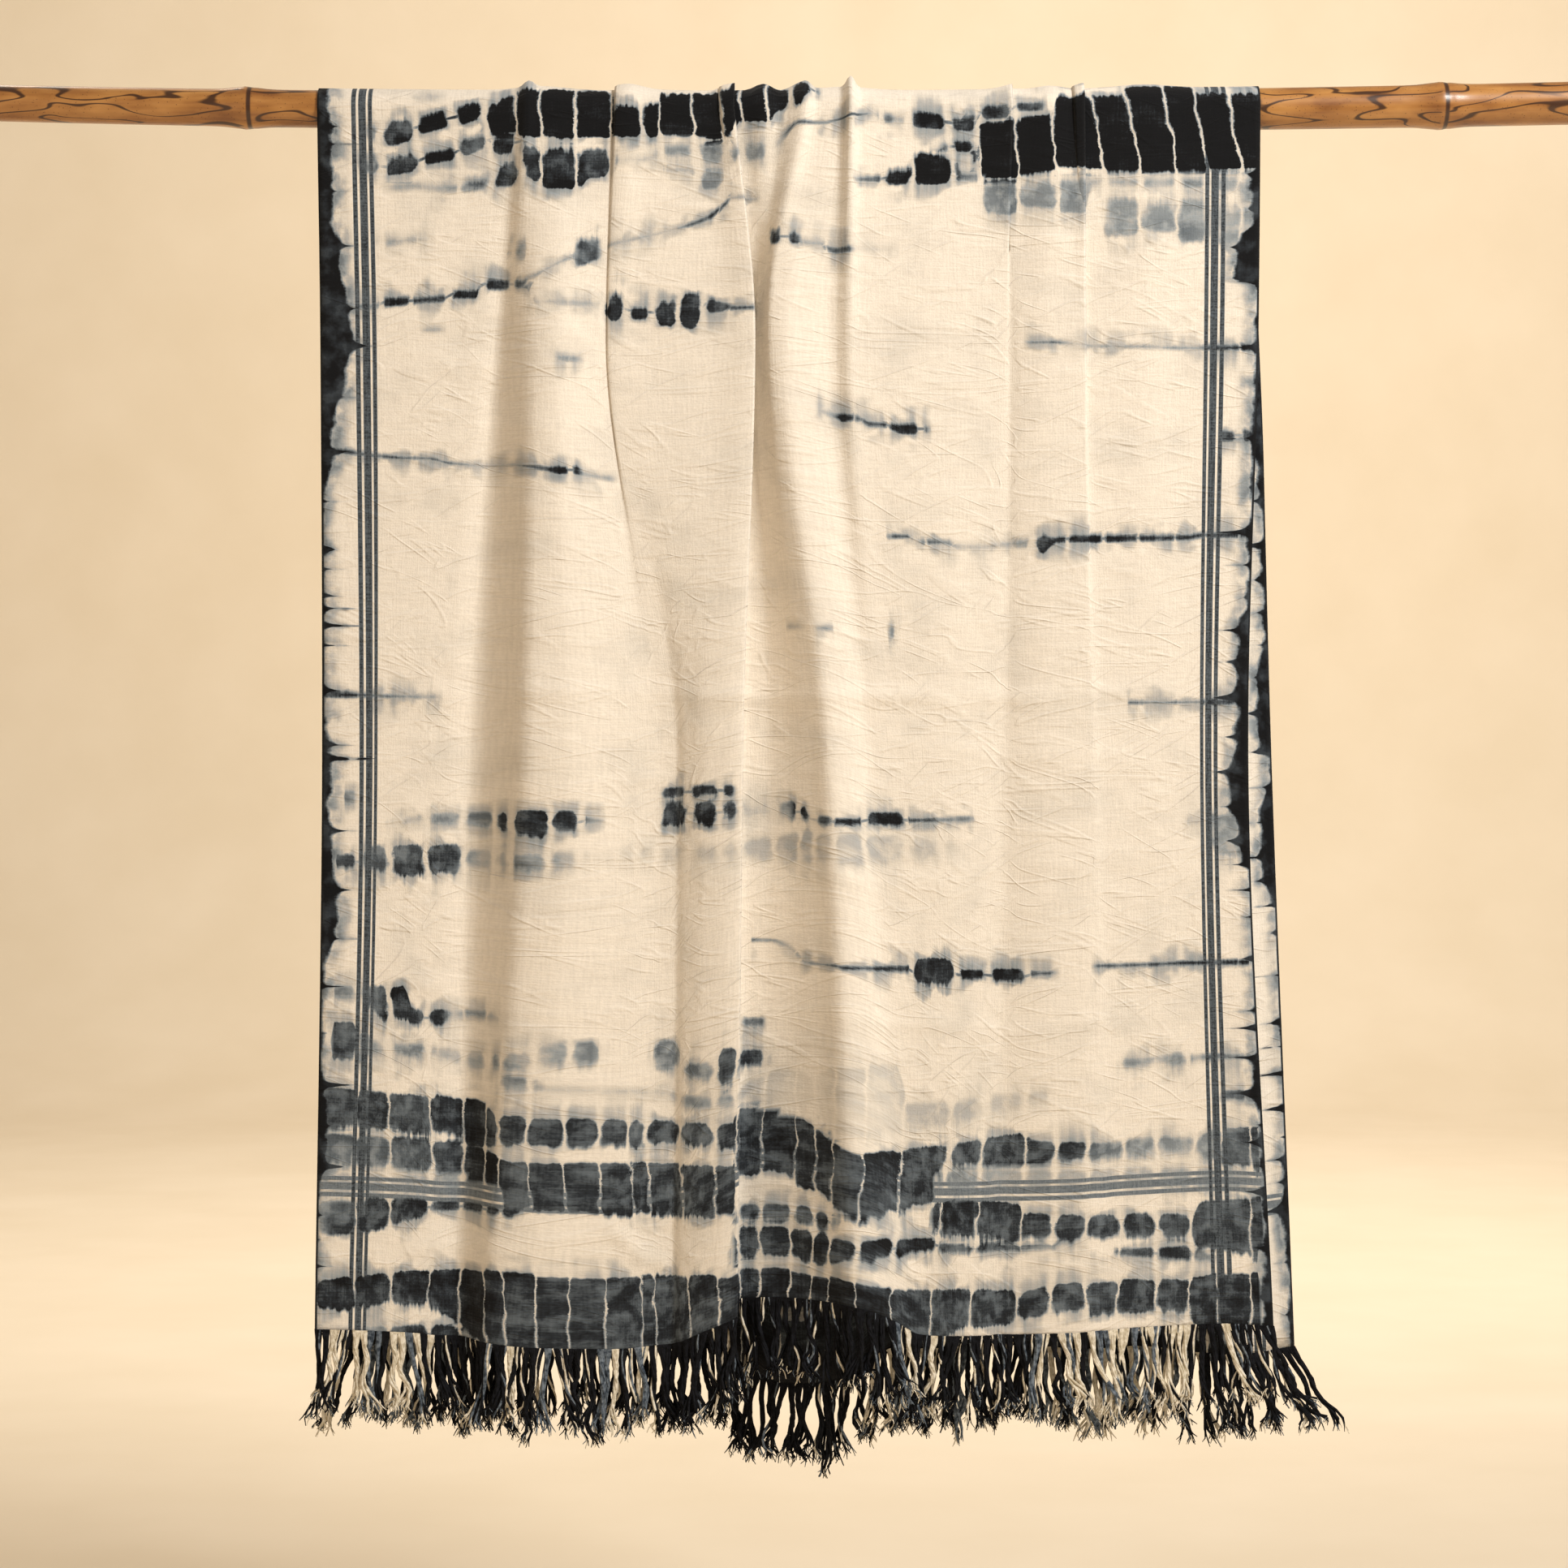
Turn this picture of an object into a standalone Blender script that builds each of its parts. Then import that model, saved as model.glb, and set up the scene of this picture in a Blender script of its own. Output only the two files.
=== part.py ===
"""A shibori dyed cotton cloth hung over a bamboo pole, with a knotted fringe at each end.

Units are metres unless a name ends in MM. X runs along the pole to the right, -Y faces the viewer
and Z is up. The origin is on the pole's axis at the middle of its length.
"""

import math
import random

import bmesh
import bpy
import numpy as np

MM = 0.001

# The pole, which tapers, bows a little under load and swells at its nodes
POLE_LENGTH = 1.5
POLE_RADIUS = 0.017
POLE_TAPER = 0.0021  # radius gained for each metre to the right
POLE_BOW = 0.0169  # rise of the axis at one metre from the middle
POLE_SQUARE_END = 0.015  # the last stretch runs level, so the sawn end is upright
POLE_SIDES = 16
NODE_AT = 0.0515  # one node's place along the pole
NODE_PITCH = 0.2588
NODE_SWELL = 0.0021
NODE_HALF_WIDTH = 0.016
NODE_RING = 0.0006
NODE_RING_HALF_WIDTH = 0.002

# The cloth
CLOTH_THICKNESS = 0.0012
LENGTH_OFF_POLE = 2.14  # front drop and back drop together, the same at every thread
BASE_AT_HEM = 0.015  # how far each hanging side stands from the pole's axis plane at the hem
NODE_COVER_RISE = 0.0031  # the cloth tents over a hidden node, wider than the node itself
NODE_COVER_WIDTH = 0.028
POLE_STEPS = 10
WIDEST_CELL_MM = 34.0
FRONT_ROWS = (0.0, 0.03, 0.07, 0.12, 0.19, 0.27, 0.36, 0.46, 0.56, 0.67, 0.79, 0.92)
BACK_ROWS = (0.0, 0.05, 0.12, 0.21, 0.32, 0.45, 0.6, 0.77)

# Depths below the pole's axis at which the table gives each fold line, in metres
LEVELS = (0.0, 0.2, 0.55, 1.06)

# One row for each fold line of the front, from the left selvedge to the right one. For each level it
# gives the place along the pole and how far the line stands out from the pole, in millimetres, and
# last how far the hem hangs below the pole's axis there.
FOLD_COLUMNS = (
    "line", "x_pole", "out_pole", "x_upper", "out_upper", "x_middle", "out_middle", "x_hem", "out_hem", "drop"
)
FOLD_LINES = (
    ("left_selvedge", -403, 1.2, -400, 3, -398, 6, -404, 10, 1058),
    ("left_border", -365, 1.2, -361, 2, -358, 4, -368, 7, 1059),
    ("left_panel", -305, 1.2, -303, 1.2, -318, 2, -325, 3, 1061),
    ("left_panel_end", -248, 1.2, -262, 0, -288, -2, -298, -3, 1064),
    ("left_valley", -231, 1.5, -247, -3, -266, -9, -281, -9, 1065),
    ("left_flank", -221, 7, -231, 8, -241, 8, -268, 3, 1066),
    ("left_crest", -211, 1.5, -214, 18, -218, 28, -256, 16, 1067),
    ("crest_shoulder", -193, 1.2, -196, 20, -188, 30, -222, 21, 1070),
    ("narrow_strip", -164, 1.2, -168, 12, -140, 18, -146, 14, 1072),
    ("second_pleat_under", -133, 2.2, -150, 5, -116, 12, -118, 10, 1070),
    ("second_pleat_edge", -146, 5, -152, 8, -105, 10.5, -106, 9, 1069),
    ("second_pleat_shoulder", -134, 7, -144, 9, -94, 10.5, -97, 9, 1068),
    ("middle_panel", -106, 2, -116, 8, -84, 16, -88, 16, 1065),
    ("middle_panel_end", -66, 1.2, -61, 10, -66, 24, -70, 24, 1056),
    ("main_pleat_approach", -50, 6, -34, 15, -44, 27.5, -50, 29, 1047),
    ("main_pleat_edge", -43, 8, -25, 16, -35, 27, -40, 29, 1042),
    ("main_pleat_return", -56, 4.5, -36, 8, -48, 15, -52, 16, 1038),
    ("valley_wall", -49, 1.5, -34, -4, -46, 2, -49, 2, 1034),
    ("valley_floor", -34, 1.5, -29, -9, -31, -9, -36, -9, 1031),
    ("dark_bunch", -18, 7, -24, -8, -17, -8, -22, -6, 1030),
    ("bunch_foot", -3, 1.5, -20, 2, 0, 0, 5, 2, 1029),
    ("main_ridge", 18, 9, -12, 16, 20, 15, 36, 20, 1030),
    ("ridge_shoulder", 28, 2, 1, 18, 38, 26, 64, 39, 1033),
    ("ridge_back", 38, 1.2, 20, 12, 56, 21, 87, 29, 1042),
    ("pinch_foot", 50, 1.2, 43, 3, 72, 13, 102, 15, 1052),
    ("pinch_top", 58, 11, 56, 10, 84, 12, 113, 10, 1059),
    ("pinch_heel", 66, 1.2, 67, 8, 96, 11, 125, 8, 1061),
    ("centre_right", 125, 1.2, 125, 6, 136, 9, 150, 7, 1062),
    ("crease_approach", 174, 1.5, 178, 3, 174, 4, 172, 5, 1062),
    ("crease_edge", 197, 6, 192, 2, 188, 2, 185, 4, 1061),
    ("crease_return", 190, 3.2, 195, 1.5, 192, 2, 190, 4, 1061),
    ("crease_foot", 208, 1.5, 204, 4, 202, 4, 200, 5, 1061),
    ("crease_panel", 230, 4, 228, 7, 228, 8, 234, 9, 1060),
    ("third_pleat_approach", 249, 1.5, 249, 7, 253, 9, 258, 10, 1059),
    ("third_pleat_edge", 259, 6, 260, 7, 263, 9, 269, 9, 1058),
    ("third_pleat_return", 250, 3.4, 258, 4.5, 267, 8.5, 276, 8, 1058),
    ("third_pleat_foot", 262, 1.3, 265, 3, 274, 7, 286, 7, 1057),
    ("right_panel", 310, 1.2, 312, 3, 316, 5, 323, 6, 1055),
    ("right_border", 374, 1.2, 372, 3, 367, 5, 379, 9, 1053),
    ("right_selvedge", 411, 1.2, 409, 3, 400, 6, 421, 13, 1055),
)

# The back hangs in even flutes, a little to the right of the front
BACK_EDGES_MM = {"left": (-403, -400, -392, -386), "right": (411, 418, 429, 450)}
BACK_FLUTES = 6.5
BACK_FLUTE_DEPTH_MM = (0.0, 6.0, 13.0, 16.0)
BACK_SETTLE = 0.3  # the pole's gathers have opened into flutes at this depth

# The fringe
STRANDS = 72
HEADING_HEIGHT = 0.005
HEADING_GAP = 0.0004
STRAND_WIDTH_SHARE = 0.4  # of the pitch
STRAND_TIP_SHARE = 0.75
STRAND_STEPS = 3
STRAND_THICKNESS = 0.0018
STRAND_LENGTH = 0.068
STRAND_LENGTH_SPREAD = 0.009
STRAND_SWAY = 0.0018
CORNER_LEAN = {"left": -0.20, "right": 0.42}  # sideways run for each metre of strand at the corners
CORNER_REACH = 0.05

COLOURS = {
    "cotton": (0.80, 0.70, 0.53, 1.0),
    "dyed_fringe": (0.05, 0.055, 0.07, 1.0),
    "bamboo": (0.45, 0.24, 0.09, 1.0),
}
ROUGHNESS = {"cotton": 0.9, "dyed_fringe": 0.9, "bamboo": 0.35}


def clear_scene():
    for old in list(bpy.data.objects):
        bpy.data.objects.remove(old, do_unlink=True)


def material(name):
    made = bpy.data.materials.new(name)
    made.use_nodes = True
    shader = made.node_tree.nodes["Principled BSDF"]
    shader.inputs["Base Color"].default_value = COLOURS[name]
    shader.inputs["Roughness"].default_value = ROUGHNESS[name]
    shader.inputs["Metallic"].default_value = 0.0
    return made


def steady_slopes(known, values):
    """Slopes of a curve through the values that never swings past them."""
    steps = np.diff(known)
    rises = np.diff(values) / steps
    slopes = np.zeros(len(values))
    slopes[0], slopes[-1] = rises[0], rises[-1]
    for i in range(1, len(values) - 1):
        if rises[i - 1] * rises[i] > 0:
            before, after = 2 * steps[i] + steps[i - 1], steps[i] + 2 * steps[i - 1]
            slopes[i] = (before + after) / (before / rises[i - 1] + after / rises[i])
    return slopes


def steady_curve(known, values, at):
    """The smooth curve through the values, read at other places."""
    known, values = np.asarray(known, float), np.asarray(values, float)
    slopes = steady_slopes(known, values)
    cell = np.clip(np.searchsorted(known, at, side="right") - 1, 0, len(known) - 2)
    step = known[cell + 1] - known[cell]
    share = (np.asarray(at, float) - known[cell]) / step
    start = (1 + 2 * share) * (1 - share) ** 2 * values[cell] + share * (1 - share) ** 2 * step * slopes[cell]
    end = share**2 * (3 - 2 * share) * values[cell + 1] - share**2 * (1 - share) * step * slopes[cell + 1]
    return start + end


def fold_column(name):
    return np.array([row[FOLD_COLUMNS.index(name)] for row in FOLD_LINES], float)


def cloth_columns():
    """Places of the cloth's columns, counted in fold lines: every line, and more across the wide panels."""
    at_pole = fold_column("x_pole")
    places = []
    for line, width in enumerate(np.abs(np.diff(at_pole))):
        parts = max(1, math.ceil(width / WIDEST_CELL_MM))
        places += [line + part / parts for part in range(parts)]
    return np.array(places + [len(at_pole) - 1.0])


def node_swell(x, rise, half_width):
    """The swelling of the pole at a place, which repeats at every node."""
    away = (x - NODE_AT + NODE_PITCH / 2) % NODE_PITCH - NODE_PITCH / 2
    return rise * np.exp(-((away / half_width) ** 2))


def pole_radius(x):
    return POLE_RADIUS + POLE_TAPER * x


def pole_height(x):
    level = POLE_LENGTH / 2 - POLE_SQUARE_END
    return POLE_BOW * np.clip(x, -level, level) ** 2


def pole_places():
    """Where the pole's rings stand: close together at each node and sparse between them."""
    half = POLE_LENGTH / 2
    ring_offsets = (-0.03, -0.015, -0.006, -0.002, 0.0, 0.002, 0.006, 0.015, 0.03)
    first = math.ceil((-half - NODE_AT) / NODE_PITCH)
    nodes = [NODE_AT + NODE_PITCH * i for i in range(first, first + math.ceil(POLE_LENGTH / NODE_PITCH))]
    places = [node + offset for node in nodes for offset in ring_offsets]
    places += [node + NODE_PITCH / 2 for node in nodes]
    inside = [x for x in places if abs(x) < half - POLE_SQUARE_END - NODE_RING_HALF_WIDTH]
    ends = [-half, -half + POLE_SQUARE_END, half - POLE_SQUARE_END, half]
    return sorted(inside + ends)


def add_pole(collection, finish):
    places = pole_places()
    curve = bpy.data.curves.new("pole", "CURVE")
    curve.dimensions = "3D"
    curve.bevel_depth = POLE_RADIUS
    curve.bevel_resolution = (POLE_SIDES - 4) // 2
    curve.use_fill_caps = True
    spline = curve.splines.new("POLY")
    spline.points.add(len(places) - 1)
    for point, x in zip(spline.points, places):
        point.co = (x, 0.0, pole_height(x), 1.0)
        swell = node_swell(x, NODE_SWELL, NODE_HALF_WIDTH) + node_swell(x, NODE_RING, NODE_RING_HALF_WIDTH)
        point.radius = (pole_radius(x) + swell) / POLE_RADIUS
    pole = bpy.data.objects.new("pole", curve)
    curve.materials.append(finish)
    collection.objects.link(pole)
    return pole


def front_section(columns, depth):
    """Place along the pole and outward reach of the front at a depth, both in metres."""
    lines = np.arange(len(FOLD_LINES))
    sections = []
    for kind in ("x", "out"):
        by_level = np.array([fold_column(f"{kind}_{level}") for level in ("pole", "upper", "middle", "hem")])
        here = np.array([steady_curve(LEVELS, by_level[:, line], [depth])[0] for line in lines])
        sections.append(steady_curve(lines, here, columns) * MM)
    return sections


def width_share(columns):
    """How far across the cloth each column lies, from 0 to 1, measured along the gathered section."""
    x, out = front_section(columns, LEVELS[0])
    lengths = np.hypot(np.diff(x), np.diff(out))
    return np.concatenate([[0.0], np.cumsum(lengths)]) / lengths.sum()


def back_section(columns, depth):
    """The same for the back: the gathers at the pole, opening into even flutes."""
    gathered_x, gathered_out = front_section(columns, LEVELS[0])
    left = steady_curve(LEVELS, BACK_EDGES_MM["left"], [depth])[0] * MM
    right = steady_curve(LEVELS, BACK_EDGES_MM["right"], [depth])[0] * MM
    across = width_share(columns)
    reach = steady_curve(LEVELS, BACK_FLUTE_DEPTH_MM, [depth])[0] * MM
    fluted_x = left + (right - left) * across
    fluted_out = reach * (1 - np.cos(2 * math.pi * BACK_FLUTES * across))
    settled = min(1.0, depth / BACK_SETTLE)
    settled = settled**2 * (3 - 2 * settled)
    x = gathered_x + (fluted_x - gathered_x) * settled
    out = gathered_out + (fluted_out - gathered_out) * settled
    return x, out


def hanging_row(columns, depth_share, side):
    """One level row of the hanging cloth: side is -1 for the front and 1 for the back."""
    front_drop = steady_curve(np.arange(len(FOLD_LINES)), fold_column("drop"), columns) * MM
    drops = front_drop if side < 0 else LENGTH_OFF_POLE - front_drop
    section = front_section if side < 0 else back_section
    x, out = section(columns, depth_share * LEVELS[-1])
    cover = pole_radius(x) + node_swell(x, NODE_COVER_RISE, NODE_COVER_WIDTH)
    base = cover + (BASE_AT_HEM - cover) * depth_share
    return np.stack([x, side * (base + out), pole_height(x) - drops * depth_share], axis=1)


def pole_row(columns, angle):
    """One row of the cloth over the pole: angle 0 faces the viewer and 180 degrees the back."""
    x, out = front_section(columns, LEVELS[0])
    reach = pole_radius(x) + node_swell(x, NODE_COVER_RISE, NODE_COVER_WIDTH) + out
    return np.stack([x, -reach * math.cos(angle), pole_height(x) + reach * math.sin(angle)], axis=1)


def cloth_rows(columns):
    """Every row of the cloth, from the front hem up over the pole and down to the back hem."""
    hem = LEVELS[-1]
    front = [hanging_row(columns, 1.0, -1)]
    front += [hanging_row(columns, depth / hem, -1) for depth in reversed(FRONT_ROWS)]
    over = [pole_row(columns, math.pi * step / POLE_STEPS) for step in range(1, POLE_STEPS)]
    back = [hanging_row(columns, depth / hem, 1) for depth in BACK_ROWS]
    back.append(hanging_row(columns, 1.0, 1))
    return np.array(front + over + back)


def sheet_object(name, rows, thickness, finish, collection, keep=None):
    """A grid laid on the rows of points and thickened. Cells that keep turns down are cut away."""
    down, across = rows.shape[0] - 1, rows.shape[1] - 1
    shape = bmesh.new()
    bmesh.ops.create_grid(shape, x_segments=across, y_segments=down, size=1.0)
    cells = {}
    for vertex in shape.verts:
        column = round((vertex.co.x + 1) / 2 * across)
        row = round((vertex.co.y + 1) / 2 * down)
        cells[vertex] = (row, column)
    if keep:
        doomed = []
        for face in shape.faces:
            row = min(cells[vertex][0] for vertex in face.verts)
            column = min(cells[vertex][1] for vertex in face.verts)
            if not keep(row, column):
                doomed.append(face)
        bmesh.ops.delete(shape, geom=doomed, context="FACES")
    for vertex in shape.verts:
        vertex.co = rows[cells[vertex]]
    mesh = bpy.data.meshes.new(name)
    shape.to_mesh(mesh)
    shape.free()
    mesh.materials.append(finish)
    sheet = bpy.data.objects.new(name, mesh)
    collection.objects.link(sheet)
    solidify = sheet.modifiers.new("thickness", "SOLIDIFY")
    solidify.thickness = thickness
    solidify.offset = 0.0
    return sheet


def along_line(points, shares):
    """Points at the given shares of a line's length."""
    lengths = np.linalg.norm(np.diff(points, axis=0), axis=1)
    reached = np.concatenate([[0.0], np.cumsum(lengths)]) / lengths.sum()
    return np.stack([np.interp(shares, reached, points[:, axis]) for axis in range(3)], axis=1)


def strand_edges():
    """Shares of the hem at which strands and the gaps between them begin and end."""
    pitch = 1 / STRANDS
    edges = [0.0]
    for strand in range(STRANDS):
        middle = (strand + 0.5) * pitch
        edges += [middle - STRAND_WIDTH_SHARE * pitch / 2, middle + STRAND_WIDTH_SHARE * pitch / 2]
    return np.array(edges + [1.0])


def top_of_heading(hem, edges):
    """The line under the hem: straight down from it, and below its lowest point between strands."""
    top = along_line(hem, edges)
    reach = 0.5 / STRANDS
    near = [along_line(hem, np.clip(edge + reach * np.linspace(-1, 1, 9), 0, 1))[:, 2].min() for edge in edges]
    top[:, 2] = np.array(near) - HEADING_GAP
    return top


def corner_lean(x, lowest, highest):
    """Strands near the corners lean outwards, those between them hang plumb."""
    left = math.exp(-(((x - lowest) / CORNER_REACH) ** 2))
    right = math.exp(-(((highest - x) / CORNER_REACH) ** 2))
    return CORNER_LEAN["left"] * left + CORNER_LEAN["right"] * right


def add_fringe(name, hem, seed, finish, collection):
    """A narrow heading under the hem with strands that hang from it, all one piece."""
    chance = random.Random(seed)
    edges = strand_edges()
    top = top_of_heading(hem, edges)
    foot = top - np.array([0.0, 0.0, HEADING_HEIGHT])
    rows = [top, foot]
    lengths = [STRAND_LENGTH + chance.uniform(-1, 1) * STRAND_LENGTH_SPREAD for _ in range(STRANDS)]
    sways = [[chance.uniform(-1, 1) * STRAND_SWAY for _ in range(2)] for _ in range(STRANDS * STRAND_STEPS)]
    lowest, highest = hem[0, 0], hem[-1, 0]
    for step in range(1, STRAND_STEPS + 1):
        share = step / STRAND_STEPS
        row = foot.copy()
        for strand in range(STRANDS):
            left, right = 1 + 2 * strand, 2 + 2 * strand
            middle = (foot[left] + foot[right]) / 2
            width = 1 + (STRAND_TIP_SHARE - 1) * share
            sway = sways[strand * STRAND_STEPS + step - 1]
            lean = corner_lean(middle[0], lowest, highest)
            shift = np.array([lean * share * lengths[strand] + sway[0], sway[1], -share * lengths[strand]])
            for edge in (left, right):
                row[edge] = middle + (foot[edge] - middle) * width + shift
        rows.append(row)
    rows = np.array(rows[::-1])
    heading_row = STRAND_STEPS

    def keep(row, column):
        return row == heading_row or column % 2 == 1

    return sheet_object(name, rows, STRAND_THICKNESS, finish, collection, keep)


def main():
    clear_scene()
    collection = bpy.data.collections.new("shibori_cloth_on_pole")
    bpy.context.scene.collection.children.link(collection)
    finishes = {name: material(name) for name in COLOURS}
    columns = cloth_columns()
    rows = cloth_rows(columns)
    add_pole(collection, finishes["bamboo"])
    sheet_object("cloth", rows, CLOTH_THICKNESS, finishes["cotton"], collection)
    add_fringe("front_fringe", rows[0], 3, finishes["dyed_fringe"], collection)
    add_fringe("back_fringe", rows[-1], 8, finishes["dyed_fringe"], collection)


main()
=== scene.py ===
"""The looks of a shibori dyed cotton cloth that hangs over a bamboo pole.

Metres unless a name ends in MM. X runs along the pole to the right, -Y faces the viewer, Z is up.
"""

import math
import random
from functools import partial
from types import SimpleNamespace

import bpy
import numpy as np
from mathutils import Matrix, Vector, noise

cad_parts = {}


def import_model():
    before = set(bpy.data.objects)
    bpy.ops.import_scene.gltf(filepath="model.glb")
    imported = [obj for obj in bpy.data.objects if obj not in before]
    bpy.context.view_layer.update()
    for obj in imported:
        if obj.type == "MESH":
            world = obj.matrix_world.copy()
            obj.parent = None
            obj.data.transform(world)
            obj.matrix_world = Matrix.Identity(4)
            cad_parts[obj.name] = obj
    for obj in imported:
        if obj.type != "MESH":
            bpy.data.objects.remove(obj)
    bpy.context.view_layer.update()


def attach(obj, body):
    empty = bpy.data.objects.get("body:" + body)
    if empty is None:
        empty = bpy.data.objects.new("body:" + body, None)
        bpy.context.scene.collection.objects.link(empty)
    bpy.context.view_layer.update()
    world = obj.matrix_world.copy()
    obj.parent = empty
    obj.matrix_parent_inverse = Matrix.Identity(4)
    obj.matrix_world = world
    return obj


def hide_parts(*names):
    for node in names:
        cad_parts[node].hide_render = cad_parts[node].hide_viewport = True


MM = 0.001

# The pole, as in the solids
POLE_LENGTH = 1.5
POLE_RADIUS = 0.017
POLE_TAPER = 0.0021
POLE_BOW = 0.0169
POLE_SQUARE_END = 0.015
NODE_AT = 0.0515
NODE_PITCH = 0.2588
NODE_SWELL = 0.0021
NODE_HALF_WIDTH = 0.016
NODE_RING = 0.0006
NODE_RING_HALF_WIDTH = 0.002
NODE_COVER_RISE = 0.0031
NODE_COVER_WIDTH = 0.028

# The cloth, as in the solids
CLOTH_THICKNESS = 0.0009
CLOTH_WIDTH = 0.92
LENGTH_OFF_POLE = 2.14
BASE_AT_HEM = 0.015
LEVELS = (0.0, 0.2, 0.55, 1.06)

# One row for each fold line of the front: for each level its place along the pole and how far it
# stands out from the pole, in millimetres, and last how far the hem hangs below the pole's axis
FOLD_COLUMNS = ("line", "x_pole", "out_pole", "x_upper", "out_upper", "x_middle", "out_middle")
FOLD_COLUMNS += ("x_hem", "out_hem", "drop")
FOLD_LINES = (
    ("left_selvedge", -403, 1.2, -400, 3, -398, 6, -404, 10, 1058),
    ("left_border", -365, 1.2, -361, 2, -358, 4, -368, 7, 1059),
    ("left_panel", -305, 1.2, -303, 1.2, -318, 2, -325, 3, 1061),
    ("left_panel_end", -248, 1.2, -262, 0, -288, -2, -298, -3, 1064),
    ("left_valley", -231, 1.5, -247, -3, -266, -9, -281, -9, 1065),
    ("left_flank", -221, 7, -231, 8, -241, 8, -268, 3, 1066),
    ("left_crest", -211, 1.5, -214, 18, -218, 28, -256, 16, 1067),
    ("crest_shoulder", -193, 1.2, -196, 20, -188, 30, -222, 21, 1070),
    ("narrow_strip", -164, 1.2, -168, 12, -140, 18, -146, 14, 1072),
    ("second_pleat_under", -133, 2.2, -150, 5, -116, 12, -118, 10, 1070),
    ("second_pleat_edge", -146, 5, -152, 8, -105, 10.5, -106, 9, 1069),
    ("second_pleat_shoulder", -134, 7, -144, 9, -94, 10.5, -97, 9, 1068),
    ("middle_panel", -106, 2, -116, 8, -84, 16, -88, 16, 1065),
    ("middle_panel_end", -66, 1.2, -61, 10, -66, 24, -70, 24, 1056),
    ("main_pleat_approach", -50, 6, -34, 15, -44, 27.5, -50, 29, 1047),
    ("main_pleat_edge", -43, 8, -25, 16, -35, 27, -40, 29, 1042),
    ("main_pleat_return", -56, 4.5, -36, 8, -48, 15, -52, 16, 1038),
    ("valley_wall", -49, 1.5, -34, -4, -46, 2, -49, 2, 1034),
    ("valley_floor", -34, 1.5, -29, -9, -31, -9, -36, -9, 1031),
    ("dark_bunch", -18, 7, -24, -8, -17, -8, -22, -6, 1030),
    ("bunch_foot", -3, 1.5, -20, 2, 0, 0, 5, 2, 1029),
    ("main_ridge", 18, 9, -12, 16, 20, 15, 36, 20, 1030),
    ("ridge_shoulder", 28, 2, 1, 18, 38, 26, 64, 39, 1033),
    ("ridge_back", 38, 1.2, 20, 12, 56, 21, 87, 29, 1042),
    ("pinch_foot", 50, 1.2, 43, 3, 72, 13, 102, 15, 1052),
    ("pinch_top", 58, 11, 56, 10, 84, 12, 113, 10, 1059),
    ("pinch_heel", 66, 1.2, 67, 8, 96, 11, 125, 8, 1061),
    ("centre_right", 125, 1.2, 125, 6, 136, 9, 150, 7, 1062),
    ("crease_approach", 174, 1.5, 178, 3, 174, 4, 172, 5, 1062),
    ("crease_edge", 197, 6, 192, 2, 188, 2, 185, 4, 1061),
    ("crease_return", 190, 3.2, 195, 1.5, 192, 2, 190, 4, 1061),
    ("crease_foot", 208, 1.5, 204, 4, 202, 4, 200, 5, 1061),
    ("crease_panel", 230, 4, 228, 7, 228, 8, 234, 9, 1060),
    ("third_pleat_approach", 249, 1.5, 249, 7, 253, 9, 258, 10, 1059),
    ("third_pleat_edge", 259, 6, 260, 7, 263, 9, 269, 9, 1058),
    ("third_pleat_return", 250, 3.4, 258, 4.5, 267, 8.5, 276, 8, 1058),
    ("third_pleat_foot", 262, 1.3, 265, 3, 274, 7, 286, 7, 1057),
    ("right_panel", 310, 1.2, 312, 3, 316, 5, 323, 6, 1055),
    ("right_border", 374, 1.2, 372, 3, 367, 5, 379, 9, 1053),
    ("right_selvedge", 411, 1.2, 409, 3, 400, 6, 421, 13, 1055),
)
BACK_EDGES_MM = {"left": (-403, -400, -392, -386), "right": (411, 418, 429, 450)}
BACK_FLUTES = 6.5
BACK_FLUTE_DEPTH_MM = (0.0, 6.0, 13.0, 16.0)
BACK_SETTLE = 0.3
TURN_OVER_POLE = 0.0597  # half the pole's girth under the cloth

# How finely the sheet is divided
CELL_WIDTH_MM = 6.5
CELLS_BETWEEN_LINES = 3
FRONT_CELLS = 190
BACK_CELLS = 50
POLE_CELLS = 14

# The slow unevenness and the short wrinkles: how far each reaches across and down, how high it is,
# and where the wrinkles gather
UNEVEN_SPAN, UNEVEN_HEIGHT = (0.11, 0.23), 0.0014
WRINKLE_SPAN, WRINKLE_HEIGHT = (0.075, 0.024), 0.0013
GATHER_SPAN, GATHER_SHARE = (0.16, 0.12), 0.25
RELIEF_FULL_AT = 0.05  # metres below the pole's axis

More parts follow.
